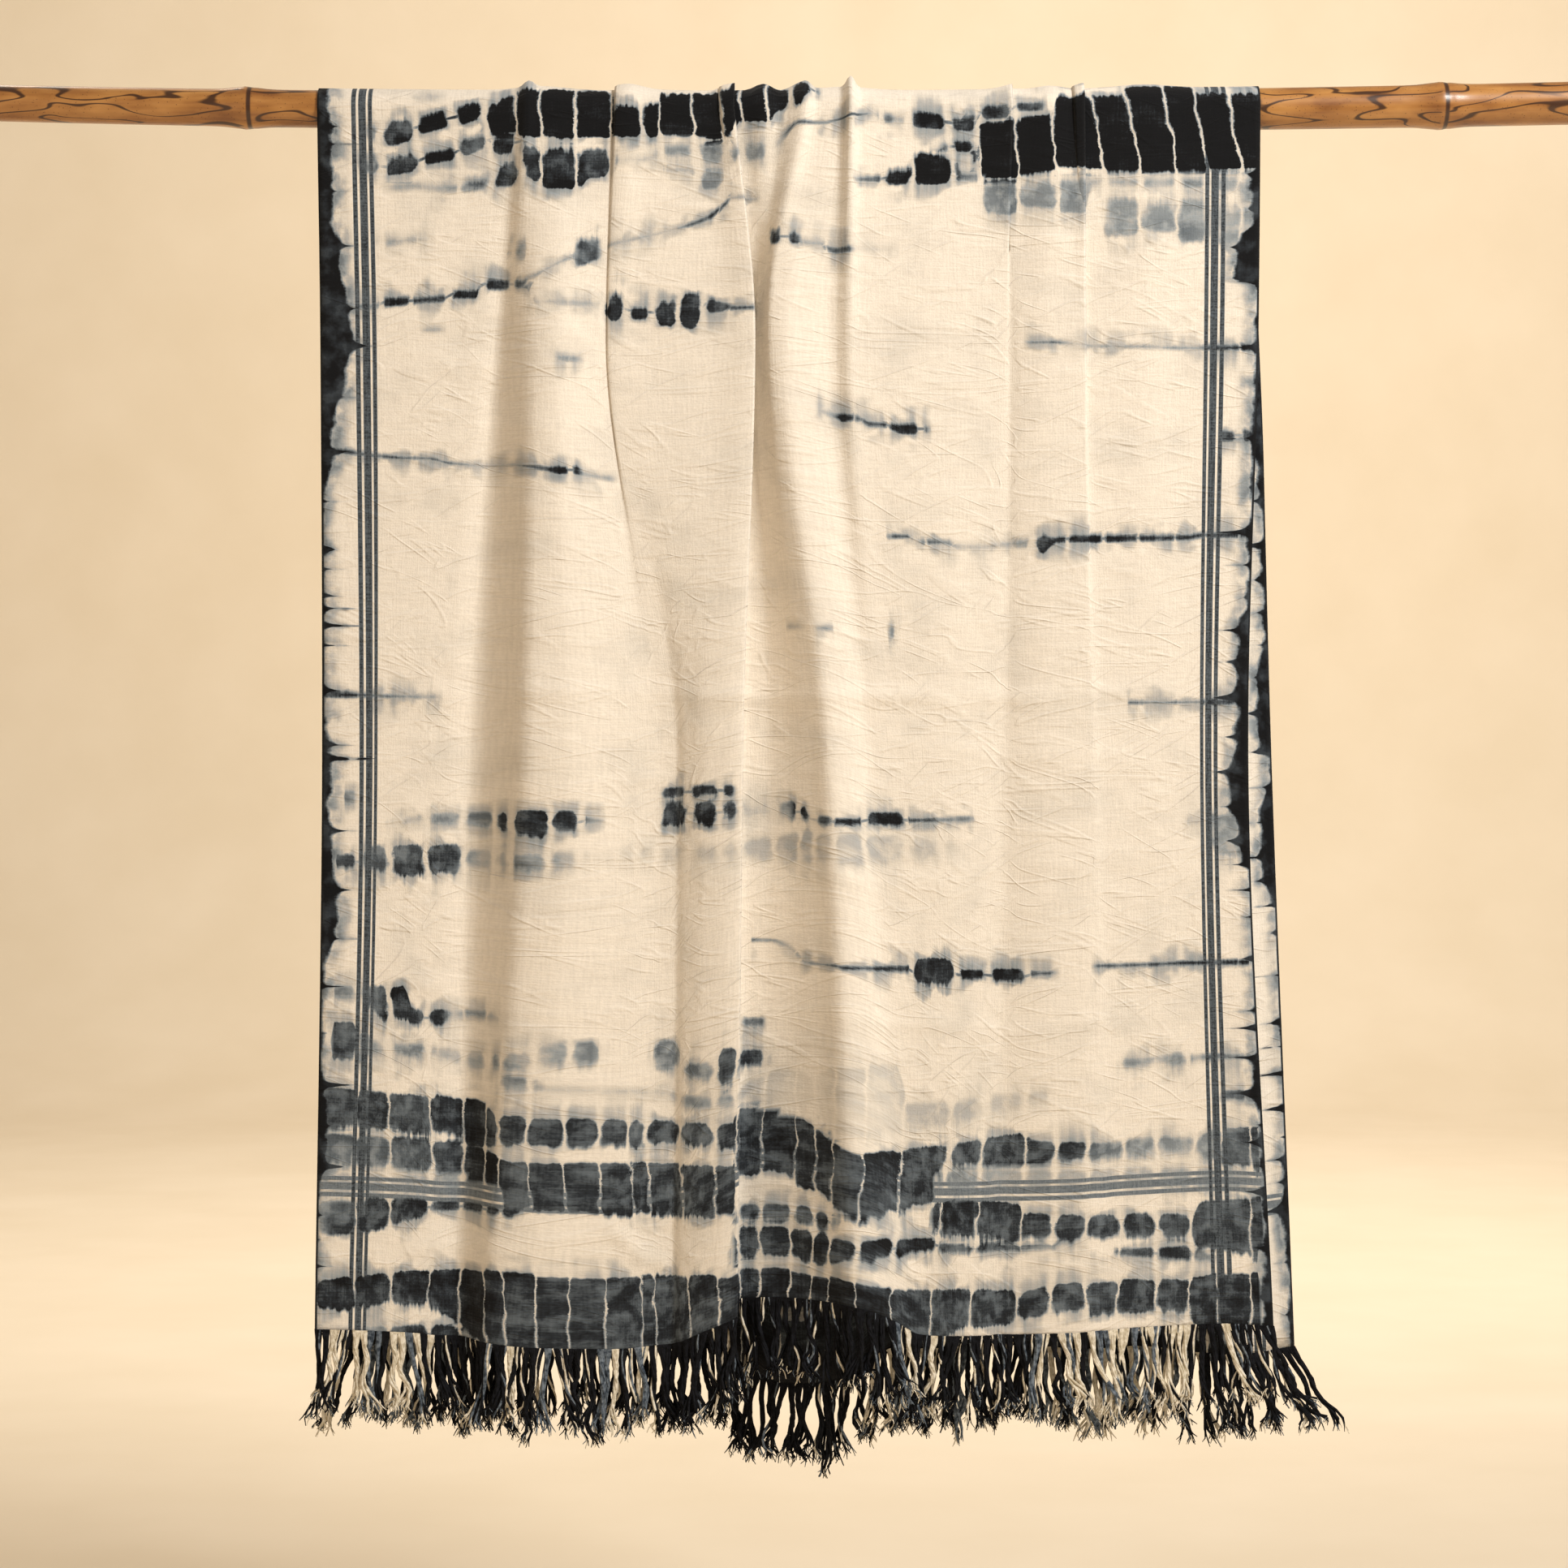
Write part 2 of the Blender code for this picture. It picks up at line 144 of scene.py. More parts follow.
# Creases pressed or slept into the cloth, on the front, in millimetres along the pole and below it.
# Each runs from one place and depth to another and has a half width and a height. A positive height
# is a ridge towards the viewer and a negative one a trough.
CREASES = (
    (-395, 505, 150, 508, 6, 2.2),
    (-60, 509, 360, 505, 6, 2.0),
    (-344, 742, -257, 784, 6, 1.6),
    (-161, 961, -97, 1002, 6, 4.2),
    (4, 948, 60, 1010, 6, 3.2),
    (60, 1008, 118, 1051, 6, 3.0),
    (-330, 226, -215, 216, 6, 1.0),
    (-215, 216, -165, 236, 6, 1.2),
    (-155, 60, -60, 70, 6, -1.0),
    (-20, 262, 60, 274, 6, 1.1),
    (-140, 190, -40, 178, 6, 0.9),
    (60, 226, 200, 240, 6, 0.9),
    (205, 120, 300, 108, 7, 1.1),
    (-320, 560, -160, 548, 7, 1.2),
    (-150, 575, -50, 590, 6, 1.0),
    (80, 548, 330, 566, 7, 1.2),
    (10, 660, 170, 676, 7, 1.3),
    (200, 655, 350, 640, 7, 1.1),
    (-310, 700, -120, 716, 7, 1.0),
    (30, 780, 190, 800, 7, 1.4),
    (150, 800, 320, 786, 7, 1.2),
    (90, 340, 260, 330, 6, 0.9),
    (-300, 330, -180, 350, 6, 0.9),
    (100, 440, 230, 452, 6, 0.8),
    (-330, 640, -230, 612, 7, 1.3),
    (20, 995, 150, 1003, 6, 1.4),
    (-330, 985, -180, 978, 6, 1.2),
)
CREASE_WANDER_MM = 2.5
CREASE_BENDS = 9
CREASE_FADE = 5  # the first and last fifth of a crease fade out
CREASE_SWELLS = 23
CREASE_UNEVEN = 0.25

# The tied rows of the dye, from the pole down. Each is a run of places across the cloth, in
# millimetres, with the top and the foot of the dyed marks below the pole's axis and how dark they are.
DYE_COLUMNS = ("x", "top", "foot", "dark")
DYE_ROWS = (
    # beside the pole's top
    ((-330, -12, -6, 0), (-305, -15, -5, 0.5), (-285, -14, -6, 0), (150, -2, 8, 0), (169, -2, 11, 0.85),
     (196, -4, 10, 0.8), (200, -6, 4, 0.8), (222, -6, 4, 0.8), (230, -6, 2, 0)),
    # first tie
    ((-375, 14, 20, 0), (-346, 12, 36, 0.8), (-322, 8, 30, 0.85), (-316, 9, 27, 0.95), (-291, 3, 18, 0.97),
     (-284, 1, 17, 0.97), (-262, -8, 11, 0.97), (-256, -3, 25, 1), (-234, -14, 23, 1), (-225, -15, 26, 1),
     (-190, -18, 28, 1), (-150, -17, 27, 1), (-143, -3, 26, 1), (-110, -4, 26, 1), (-106, -14, 26, 1),
     (-46, -16, 27, 1), (-42, -28, 12, 1), (-12, -28, 14, 1), (-8, -24, 4, 1), (8, -24, 2, 1),
     (25, -24, -6, 1), (36, -22, -14, 0), (78, 4, 12, 0), (86, 3, 14, 0.95), (97, 7, 12, 0.6),
     (107, 6, 16, 0.2), (114, 3, 18, 0.95), (134, 4, 19, 0.9), (150, 8, 20, 0.9), (166, 6, 22, 0.85),
     (170, 13, 62, 1), (200, 12, 61, 1), (206, 9, 57, 1), (231, 8, 55, 1), (236, -15, 54, 1),
     (300, -17, 58, 1), (411, -18, 55, 1)),
    # second tie
    ((-375, 40, 60, 0), (-368, 40, 60, 0.6), (-356, 42, 60, 0.6), (-342, 44, 62, 0.9), (-315, 38, 56, 0.9),
     (-310, 38, 51, 0.95), (-284, 33, 46, 0.95), (-279, 28, 45, 0.8), (-256, 17, 36, 0.75),
     (-250, 25, 42, 0.9), (-226, 22, 38, 0.85), (-222, 32, 62, 0.8), (-205, 36, 71, 0.9),
     (-174, 36, 71, 0.9), (-169, 33, 62, 0.8), (-148, 33, 60, 0.8), (-143, 44, 47, 0.4),
     (-120, 44, 47, 0.4), (-102, 29, 43, 0.55), (-76, 29, 43, 0.55), (-70, 29, 49, 0.6),
     (-46, 29, 49, 0.55), (-34, 28, 46, 0.5), (-18, 28, 46, 0.5), (-8, 28, 38, 0.2), (10, 12, 15, 0.9),
     (37, 12, 14, 0.85), (60, 6, 8, 0.95), (74, 4, 6, 0.85), (80, 4, 6, 0), (130, 28, 40, 0),
     (143, 28, 39, 0.9), (164, 28, 39, 0.9), (172, 64, 92, 0.5), (200, 64, 94, 0.65), (205, 62, 88, 0.55),
     (233, 62, 90, 0.55), (239, 58, 94, 0.55), (260, 58, 94, 0.5), (264, 60, 70, 0.4), (300, 61, 71, 0.55),
     (362, 61, 72, 0.55), (372, 60, 74, 0.5), (411, 60, 78, 0.6)),
    # third tie
    ((-352, 66, 74, 0), (-336, 66, 73, 0.55), (-318, 65, 71, 0.5), (-308, 66, 72, 0.4),
     (-302, 66, 74, 0.56), (-283, 66, 74, 0.56), (-271, 62, 73, 0.66), (-254, 60, 72, 0.66),
     (-248, 50, 70, 0.83), (-228, 47, 68, 0.8), (-221, 64, 72, 0), (-110, 50, 57, 0), (-103, 50, 57, 0.5),
     (-78, 50, 57, 0.5), (-70, 52, 72, 0.56), (-50, 52, 72, 0.55), (-44, 60, 70, 0), (56, 59, 64, 0),
     (65, 59, 65, 0.8), (84, 58, 65, 0.85), (87, 53, 67, 0.94), (107, 53, 67, 0.94), (112, 40, 67, 0.94),
     (145, 40, 67, 0.94), (150, 54, 64, 0.7), (170, 56, 64, 0.66), (174, 74, 78, 0), (272, 76, 114, 0),
     (279, 75, 114, 0.55), (300, 75, 114, 0.5), (309, 80, 109, 0.5), (335, 80, 109, 0.5),
     (340, 80, 118, 0.55), (362, 80, 118, 0.5), (369, 84, 114, 0.3), (382, 86, 128, 0.45),
     (413, 86, 150, 0.62)),
    # single blots below it
    ((-354, 110, 126, 0), (-350, 112, 122, 0.5), (-337, 112, 122, 0.5), (-328, 113, 119, 0.4),
     (-312, 110, 117, 0.45), (-300, 110, 118, 0), (-238, 108, 136, 0), (-234, 112, 134, 0.55),
     (-224, 112, 134, 0.5), (-218, 110, 138, 0), (-182, 113, 140, 0), (-178, 113, 139, 0.75),
     (-160, 110, 133, 0.7), (-155, 110, 132, 0), (-14, 105, 120, 0), (-10, 106, 119, 0.89),
     (10, 106, 119, 0.85), (17, 115, 120, 0.5), (32, 115, 120, 0.5), (40, 119, 127, 0.85),
     (56, 119, 127, 0.85), (62, 121, 124, 0.35), (96, 121, 124, 0.3), (104, 121, 124, 0)),
    # the rising thread
    ((-226, 147, 150, 0), (-216, 147, 150, 0.66), (-187, 131, 134, 0.61), (-153, 119, 121, 0.56),
     (-101, 106, 108, 0.61), (-80, 99, 103, 0.85), (-62, 90, 97, 0.89), (-50, 80, 86, 0.85),
     (-46, 77, 80, 0.7), (-24, 76, 79, 0.56), (-18, 76, 79, 0)),
    # fourth tie
    ((-380, 170, 178, 0.66), (-352, 169, 177, 0.66), (-348, 165, 174, 0.89), (-325, 164, 172, 0.89),
     (-293, 161, 170, 0.89), (-287, 157, 166, 0.89), (-265, 157, 166, 0.89), (-261, 147, 158, 0.85),
     (-241, 147, 158, 0.85), (-232, 149, 158, 0.75), (-222, 149, 158, 0.66), (-213, 168, 172, 0.4),
     (-167, 166, 174, 0.5), (-158, 166, 176, 0.3), (-155, 161, 186, 0.89), (-137, 161, 186, 0.89),
     (-133, 170, 184, 0.89), (-116, 170, 184, 0.89), (-110, 165, 190, 0.89), (-94, 165, 190, 0.89),
     (-91, 162, 193, 0.89), (-72, 162, 193, 0.85), (-69, 160, 179, 0.85), (-49, 168, 177, 0.81),
     (-45, 171, 176, 0.89), (-27, 171, 176, 0.81), (-22, 172, 175, 0), (205, 201, 205, 0),
     (212, 202, 205, 0.81), (235, 202, 205, 0.81), (250, 204, 206, 0.4), (263, 205, 208, 0.75),
     (274, 206, 208, 0.66), (360, 208, 211, 0.7), (366, 206, 212, 0.85), (408, 206, 213, 0.89)),
    # drips below it, and the short row right of the middle
    ((-315, 191, 194, 0), (-312, 191, 194, 0.5), (-294, 191, 194, 0.5), (-290, 191, 194, 0),
     (-200, 215, 220, 0), (-192, 215, 221, 0.56), (-178, 216, 222, 0.66), (-170, 218, 222, 0),
     (22, 258, 262, 0), (28, 260, 263, 0.76), (36, 262, 265, 0.5), (50, 264, 272, 0.81),
     (66, 266, 272, 0.76), (72, 270, 276, 0.85), (88, 271, 277, 0.85), (99, 272, 283, 0.89),
     (122, 272, 283, 0.89), (130, 276, 279, 0), (370, 280, 290, 0), (376, 279, 291, 0.81),
     (408, 279, 291, 0.85)),
    # fifth tie
    ((-403, 292, 299, 0.85), (-352, 300, 304, 0.85), (-330, 302, 305, 0.81), (-304, 302, 305, 0.85),
     (-290, 306, 309, 0.85), (-262, 308, 311, 0.56), (-233, 308, 310, 0.56), (-220, 310, 313, 0.85),
     (-200, 311, 317, 0.85), (-196, 310, 319, 0.89), (-178, 310, 319, 0.89), (-170, 316, 320, 0.5),
     (-150, 319, 322, 0.56), (-140, 320, 323, 0)),
    # sixth tie, on the right
    ((84, 366, 372, 0), (91, 368, 372, 0.81), (107, 368, 372, 0.81), (114, 371, 377, 0.3),
     (120, 371, 378, 0.81), (140, 373, 378, 0.76), (150, 378, 381, 0.56), (168, 378, 381, 0.5),
     (200, 372, 380, 0.5), (212, 371, 380, 0.6), (217, 366, 386, 0.85), (225, 366, 386, 0.85),
     (231, 370, 378, 0.8), (238, 369, 377, 0.85), (330, 369, 376, 0.89), (351, 369, 376, 0.89),
     (356, 367, 374, 0.89), (404, 367, 374, 0.89)),
    ((0, 446, 449, 0), (4, 446, 449, 0.5), (11, 446, 449, 0.5), (22, 448, 450, 0), (30, 447, 452, 0.66),
     (40, 447, 452, 0.56), (46, 449, 451, 0), (88, 434, 464, 0), (92, 436, 462, 0.56), (97, 436, 462, 0.56),
     (102, 440, 458, 0)),
    # seventh tie
    ((-403, 503, 512, 0.85), (-352, 507, 511, 0.81), (-300, 508, 511, 0.61), (-292, 508, 511, 0),
     (290, 513, 516, 0), (296, 513, 516, 0.75), (358, 513, 516, 0.81), (362, 511, 518, 0.85),
     (402, 511, 518, 0.85)),
    ((-384, 590, 604, 0), (-380, 590, 604, 0.66), (-366, 590, 604, 0.61), (-360, 590, 604, 0),
     (-110, 586, 597, 0), (-105, 586, 597, 0.85), (-84, 584, 596, 0.85), (-56, 583, 594, 0.89),
     (-44, 583, 594, 0.81), (-36, 582, 592, 0)),
    # eighth tie
    ((-352, 616, 624, 0), (-330, 614, 622, 0.35), (-302, 609, 621, 0.56), (-250, 607, 624, 0.66),
     (-241, 606, 629, 0.85), (-204, 606, 629, 0.85), (-193, 606, 627, 0.89), (-176, 606, 627, 0.89),
     (-169, 611, 618, 0.75), (-158, 611, 618, 0.56), (-150, 611, 618, 0), (-112, 602, 620, 0),
     (-106, 600, 620, 0.85), (-84, 598, 619, 0.85), (-56, 597, 618, 0.89), (-40, 597, 614, 0.81),
     (-30, 600, 614, 0.2), (4, 597, 617, 0.5), (8, 597, 617, 0.89), (15, 597, 617, 0.89),
     (24, 608, 619, 0.76), (45, 612, 619, 0.85), (64, 612, 619, 0.85), (72, 607, 621, 0.89),
     (101, 607, 621, 0.89), (109, 612, 617, 0.81), (127, 612, 617, 0.81), (138, 612, 617, 0.7),
     (162, 611, 616, 0.7), (168, 612, 616, 0), (340, 610, 640, 0), (350, 612, 622, 0.3),
     (364, 606, 630, 0.4), (372, 612, 650, 0.5), (400, 606, 652, 0.56)),
    ((-386, 645, 660, 0.81), (-366, 645, 660, 0.81), (-360, 638, 664, 0.7), (-338, 636, 664, 0.76),
     (-312, 636, 664, 0.81), (-280, 636, 664, 0.76), (-274, 640, 660, 0.4), (-244, 640, 660, 0.4),
     (-232, 643, 660, 0.61), (-205, 643, 660, 0.61), (-190, 640, 660, 0.35), (-165, 638, 656, 0.12),
     (-60, 633, 652, 0.2), (-20, 628, 652, 0.24), (18, 622, 658, 0.35), (36, 625, 655, 0.2),
     (70, 625, 655, 0.28), (110, 625, 650, 0.22), (150, 628, 650, 0.12), (180, 630, 650, 0)),
    # ninth tie
    ((-32, 716, 720, 0), (-28, 717, 719, 0.85), (-8, 717, 719, 0.81), (6, 722, 726, 0.3),
     (18, 735, 738, 0.76), (45, 737, 740, 0.81), (50, 738, 743, 0.85), (70, 739, 743, 0.85),
     (78, 739, 745, 0.89), (107, 739, 746, 0.89), (113, 733, 759, 0.89), (146, 733, 759, 0.89),
     (151, 743, 753, 0.89), (174, 743, 753, 0.89), (180, 742, 756, 0.89), (208, 743, 756, 0.89),
     (216, 744, 750, 0.76), (232, 744, 750, 0.75), (240, 742, 745, 0), (262, 740, 744, 0),
     (269, 739, 743, 0.81), (286, 739, 743, 0.81), (340, 737, 742, 0.85), (402, 736, 742, 0.89)),
    # tenth tie, blurred
    ((-390, 757, 771, 0.66), (-370, 758, 771, 0.56), (-343, 759, 790, 0.85), (-327, 759, 790, 0.85),
     (-321, 778, 795, 0.85), (-296, 778, 795, 0.85), (-288, 779, 786, 0.4), (-263, 779, 787, 0.66),
     (-256, 779, 787, 0.56), (-240, 786, 792, 0), (-40, 786, 794, 0), (-36, 785, 794, 0.75),
     (-18, 785, 794, 0.75), (-12, 786, 793, 0)),
    ((-392, 790, 825, 0.8), (-369, 790, 825, 0.75), (-352, 806, 822, 0.45), (-335, 808, 822, 0.56),
     (-308, 808, 822, 0.55), (-300, 812, 826, 0.3), (-247, 814, 834, 0.55), (-222, 814, 834, 0.45),
     (-212, 806, 826, 0.3), (-183, 803, 828, 0.56), (-161, 803, 828, 0.56), (-154, 810, 826, 0),
     (-120, 810, 826, 0), (-112, 803, 828, 0.61), (-92, 803, 828, 0.56), (-84, 822, 839, 0.61),
     (-60, 822, 839, 0.56), (-55, 808, 842, 0.8), (-41, 808, 842, 0.75), (-36, 812, 828, 0.85),
     (-17, 812, 828, 0.8), (-8, 814, 828, 0), (284, 820, 830, 0), (291, 820, 830, 0.56),
     (311, 820, 830, 0.55), (320, 819, 822, 0.5), (334, 816, 832, 0.56), (345, 816, 832, 0.55),
     (356, 819, 822, 0.56), (366, 817, 824, 0.75), (405, 817, 824, 0.75)),
    ((-250, 832, 848, 0), (-241, 832, 850, 0.61), (-216, 832, 850, 0.56), (-205, 842, 848, 0.3),
     (-100, 846, 852, 0.3), (-84, 850, 865, 0.56), (-64, 850, 865, 0.56), (-42, 848, 862, 0.56),
     (-36, 840, 858, 0.3), (25, 815, 880, 0.05), (46, 822, 888, 0.17), (97, 824, 888, 0.18),
     (107, 855, 882, 0.24), (142, 855, 882, 0.24), (206, 848, 867, 0.2), (225, 846, 862, 0.2),
     (234, 844, 860, 0), (370, 848, 862, 0), (376, 848, 860, 0.75), (405, 848, 860, 0.8)),
    # end border, first band
    ((-404, 845, 883, 0.8), (-341, 850, 885, 0.8), (-300, 853, 889, 0.82), (-268, 857, 896, 0.88),
     (-256, 860, 897, 0.88), (-247, 868, 896, 0.8), (-161, 870, 896, 0.78), (-44, 873, 896, 0.8),
     (-42, 862, 920, 0.8), (-18, 862, 919, 0.82), (-7, 862, 918, 0.82), (5, 864, 922, 0.82),
     (20, 874, 930, 0.84), (32, 882, 934, 0.84), (44, 890, 952, 0.84), (60, 898, 957, 0.82),
     (100, 899, 956, 0.8), (106, 897, 954, 0.8), (128, 896, 946, 0.8), (132, 895, 920, 0.8),
     (150, 892, 915, 0.78), (175, 888, 916, 0.78), (208, 884, 917, 0.86), (215, 890, 912, 0.8),
     (260, 892, 911, 0.78), (284, 892, 908, 0.6), (318, 886, 905, 0.55), (350, 890, 906, 0.5),
     (372, 880, 915, 0.7), (411, 880, 920, 0.8)),
    # smears between the bands, and along the woven stripes
    ((-404, 918, 944, 0.3), (-330, 920, 942, 0.35), (-262, 922, 944, 0.5), (-232, 922, 944, 0.3),
     (-226, 924, 940, 0)),
    ((128, 912, 940, 0), (134, 914, 938, 0.6), (170, 914, 937, 0.4), (300, 914, 936, 0.3),
     (372, 916, 938, 0.45), (405, 916, 938, 0.55)),
    # end border, second band
    ((-404, 886, 916, 0.66), (-341, 888, 919, 0.7), (-300, 892, 920, 0.78), (-268, 897, 930, 0.88),
     (-250, 900, 938, 0.88), (-240, 906, 948, 0.82), (-222, 907, 953, 0.8), (-44, 909, 953, 0.8),
     (-42, 946, 962, 0.78), (0, 946, 961, 0.78), (18, 944, 963, 0.8), (28, 949, 968, 0.84),
     (42, 950, 967, 0.84), (48, 954, 960, 0)),
    ((124, 950, 966, 0), (129, 946, 972, 0.84), (134, 940, 977, 0.84), (165, 941, 978, 0.82),
     (205, 946, 979, 0.84), (210, 953, 977, 0.82), (350, 955, 977, 0.8), (360, 944, 985, 0.76),
     (411, 940, 1000, 0.82)),
    # end border, narrow band
    ((-404, 943, 972, 0.5), (-392, 943, 975, 0.75), (-345, 941, 970, 0.8), (-316, 942, 962, 0.84),
     (-308, 944, 956, 0.86), (-232, 944, 956, 0.86), (-226, 945, 955, 0)),
    ((-46, 966, 996, 0), (-42, 966, 996, 0.86), (10, 964, 994, 0.84), (25, 968, 1000, 0.84),
     (42, 970, 1000, 0.86), (50, 972, 993, 0.86), (95, 972, 992, 0.88), (104, 974, 989, 0.88),
     (130, 973, 987, 0.88), (138, 978, 988, 0.8), (170, 979, 988, 0.8), (205, 981, 987, 0.75),
     (236, 980, 984, 0.7), (244, 980, 984, 0)),
    ((280, 986, 990, 0), (286, 984, 992, 0.8), (340, 983, 997, 0.82), (352, 982, 998, 0.8),
     (372, 990, 1000, 0.5)),
    # end border, last band
    ((-404, 1014, 1040, 0.88), (-376, 1010, 1040, 0.9), (-340, 1006, 1036, 0.84), (-300, 1004, 1040, 0.86),
     (-268, 1002, 1070, 0.92), (-230, 1004, 1078, 0.84), (-148, 1006, 1080, 0.8), (-44, 1004, 1076, 0.84),
     (-42, 1001, 1076, 0.86), (-10, 999, 1076, 0.86), (25, 1003, 1078, 0.88), (45, 1004, 1080, 0.88),
     (62, 1009, 1080, 0.86), (97, 1017, 1080, 0.82), (128, 1019, 1076, 0.82), (150, 1019, 1054, 0.8),
     (190, 1020, 1052, 0.78), (204, 1022, 1047, 0.8), (230, 1014, 1041, 0.8), (290, 1011, 1043, 0.8),
     (345, 1012, 1041, 0.82), (372, 1006, 1068, 0.84), (411, 1004, 1072, 0.9)),
    ((-404, 1056, 1066, 0.3), (-380, 1054, 1068, 0.45), (-312, 1050, 1070, 0.9), (-280, 1052, 1072, 0.9),
     (-272, 1056, 1070, 0.3)),
)
FAINT_ROW = 0.15
FAINT_ROW_RETREAT_MM = 30.0
MIDDLE_OF_DROP_MM = 530.0

# The back's hem is dyed through below this depth, and its resist folds are spread out of the way
SOLID_BACK_HEM_MM = 1040.0
SOLID_HEM_FADE_MM = 20.0
SOLID_HEM_DARK = 0.97
SOLID_HEM_FOLD_SPREAD = 5

# The pleats' folds, which the dye didn't reach: where each lies at these depths, in millimetres
RESIST_DEPTHS_MM = (-10, 55, 176, 625, 740, 890, 1030)
RESIST_FOLDS = (
    (-400, -400, -400, -400, -400, -402, -404),
    (-371, -371, -371, -365, -367, -369, -370),
    (-347, -347, -348, -340, -340, -341, -340),
    (-323, -312, -323, -309, -309, -304, -307),
    (-289, -279, -290, -277, -277, -277, -281),
    (-260, -251, -263, -247, -253, -257, -257),
    (-233, -226, -235, -234, -240, -246, -240),
    (-211, -209, -214, -200, -207, -221, -212),
    (-179, -179, -186, -173, -179, -189, -185),
    (-148, -149, -155, -144, -151, -160, -153),
    (-122, -121, -136, -127, -130, -134, -121),
    (-109, -104, -113, -108, -111, -119, -111),
    (-80, -74, -92, -81, -85, -90, -81),
    (-55, -48, -72, -53, -56, -60, -55),
    (-38, -36, -46, -38, -39, -41, -38),
    (-15, -11, -22, -8, -11, -19, -22),
    (6, 6, -4, 14, 13, 11, 4),
    (24, 24, 13, 26, 26, 28, 23),
    (38, 38, 35, 41, 47, 42, 37),
    (59, 60, 59, 69, 74, 68, 59),
    (83, 85, 85, 106, 110, 102, 91),
    (106, 110, 113, 134, 148, 143, 126),
    (138, 147, 144, 167, 177, 172, 160),
    (167, 169, 174, 199, 211, 209, 202),
    (197, 202, 204, 227, 234, 234, 229),
    (230, 235, 237, 251, 258, 261, 259),
    (265, 277, 274, 276, 284, 293, 287),
    (295, 307, 306, 307, 314, 321, 321),
    (327, 340, 337, 339, 342, 354, 350),
    (353, 365, 363, 363, 365, 376, 374),
    (382, 395, 393, 391, 392, 402, 402),
    (420, 424, 424, 424, 424, 432, 436),
)

# The dyed edges beside the selvedges, as depths and widths in millimetres
EDGE_WIDTHS = {
    "left": (
        (-20, 9), (0, 11), (19, 12), (28, 14), (60, 15), (74, 13), (100, 13), (121, 16), (150, 19),
        (170, 24), (205, 28), (215, 25), (250, 17), (290, 10), (320, 6), (340, 2), (384, 1), (430, 1.5),
        (520, 1), (548, 4), (575, 6), (640, 7), (665, 12), (690, 13), (720, 9), (745, 3), (800, 2),
        (850, 3), (862, 8), (915, 9), (935, 3), (1000, 1), (1062, 1),
    ),
    "right": (
        (-20, 3), (55, 3), (62, 6), (72, 8), (90, 7), (105, 5), (110, 14), (130, 20), (150, 22), (156, 3),
        (200, 2), (240, 3), (300, 3), (330, 4), (400, 3), (430, 5), (447, 10), (470, 13), (520, 10),
        (560, 15), (590, 20), (610, 17), (640, 8), (665, 3), (680, 0.5), (760, 0.5), (820, 2), (838, 5),
        (852, 6), (866, 2), (905, 2), (935, 3), (975, 4), (1000, 6), (1062, 8),
    ),
    "back_right": (
        (-20, 8), (280, 8), (318, 8), (330, 3), (356, 2), (372, 8), (440, 3), (455, 2), (470, 13),
        (535, 14), (548, 3), (575, 3), (590, 14), (660, 13), (680, 0), (850, 0), (905, 2), (930, 8),
        (965, 8), (985, 1), (1005, 1), (1015, 5), (1062, 5),
    ),
}

# The ties along each dyed edge, as depths and how far the dye ran in along each, in millimetres
EDGE_TIES = {
    "left": (
        (-30, 6), (20, 10), (33, 20), (74, 14), (121, 18), (176, 10), (207, 26), (252, 6), (299, 24),
        (342, 8), (384, 16), (400, 28), (424, 16), (434, 18), (449, 25), (465, 10), (505, 28), (553, 16),
        (563, 34), (626, 28), (677, 12), (719, 32), (760, 14), (800, 8), (845, 26), (880, 8), (915, 14),
        (957, 8), (1000, 8), (1090, 6),
    ),
    "right": (
        (-30, 4), (12, 5), (60, 12), (90, 10), (123, 12), (152, 14), (209, 34), (288, 32), (330, 5),
        (369, 36), (397, 8), (425, 5), (453, 14), (480, 8), (511, 32), (545, 12), (575, 14), (605, 12),
        (635, 26), (655, 10), (677, 14), (700, 6), (736, 34), (782, 12), (795, 18), (821, 26), (852, 30),
        (880, 6), (894, 26), (915, 6), (936, 22), (985, 14), (1027, 8), (1090, 8),
    ),
}

# How dark the warp ends are along each hem, in millimetres from the middle of the pole
YARN_SHADES = (
    (-404, 0.65), (-388, 0.5), (-378, 0.25), (-320, 0.25), (-305, 0.93), (-160, 0.94), (-122, 0.45),
    (-100, 0.94), (60, 0.93), (110, 0.6), (150, 0.88), (210, 0.65), (240, 0.2), (350, 0.15), (366, 0.95),
    (421, 0.97),
)

# The fringe
TASSELS = 72
BUNCHES_IN_TASSEL = 2
YARNS_IN_BUNCH = 5
HAIRS_ON_YARN = 3
YARN_RADIUS = 0.00125
YARN_STEPS = 11
FRINGE_LENGTH = 0.072
FRINGE_SPREAD = 0.008
CORNER_LEAN = {"left": -0.20, "right": 0.42}
CORNER_REACH = 0.05
ROOT_LAP = 0.003
TASSEL_LEAN = 0.14
BUNCH_LEAN = 0.13
BUNCH_LENGTHS = (0.84, 1.0)  # shares of the tassel's length
BUNCH_WAVE_X = (0.002, 0.006)
BUNCH_WAVE_Y = (0.001, 0.003)
BUNCH_WAVES = (0.6, 1.9)
BUNCH_DRIFT_Y = 0.06
BUNCH_TWISTS = (1.0, 2.2)
YARN_FROM_MIDDLE = (0.0008, 0.0019)
YARN_ANGLE_SPREAD = 0.2
ROOTS_JOIN_BY = 0.16  # share of the length
FRAY_FROM = 0.62  # share of the length
YARNS_OF_BUNCH_SHADE = 0.84
FRAY_X, FRAY_Y = 0.007, 0.003
TIP_RISE = 0.006
HAIRS_OF_YARN_SHADE = 0.7
HAIR_X, HAIR_Y = 0.005, 0.003
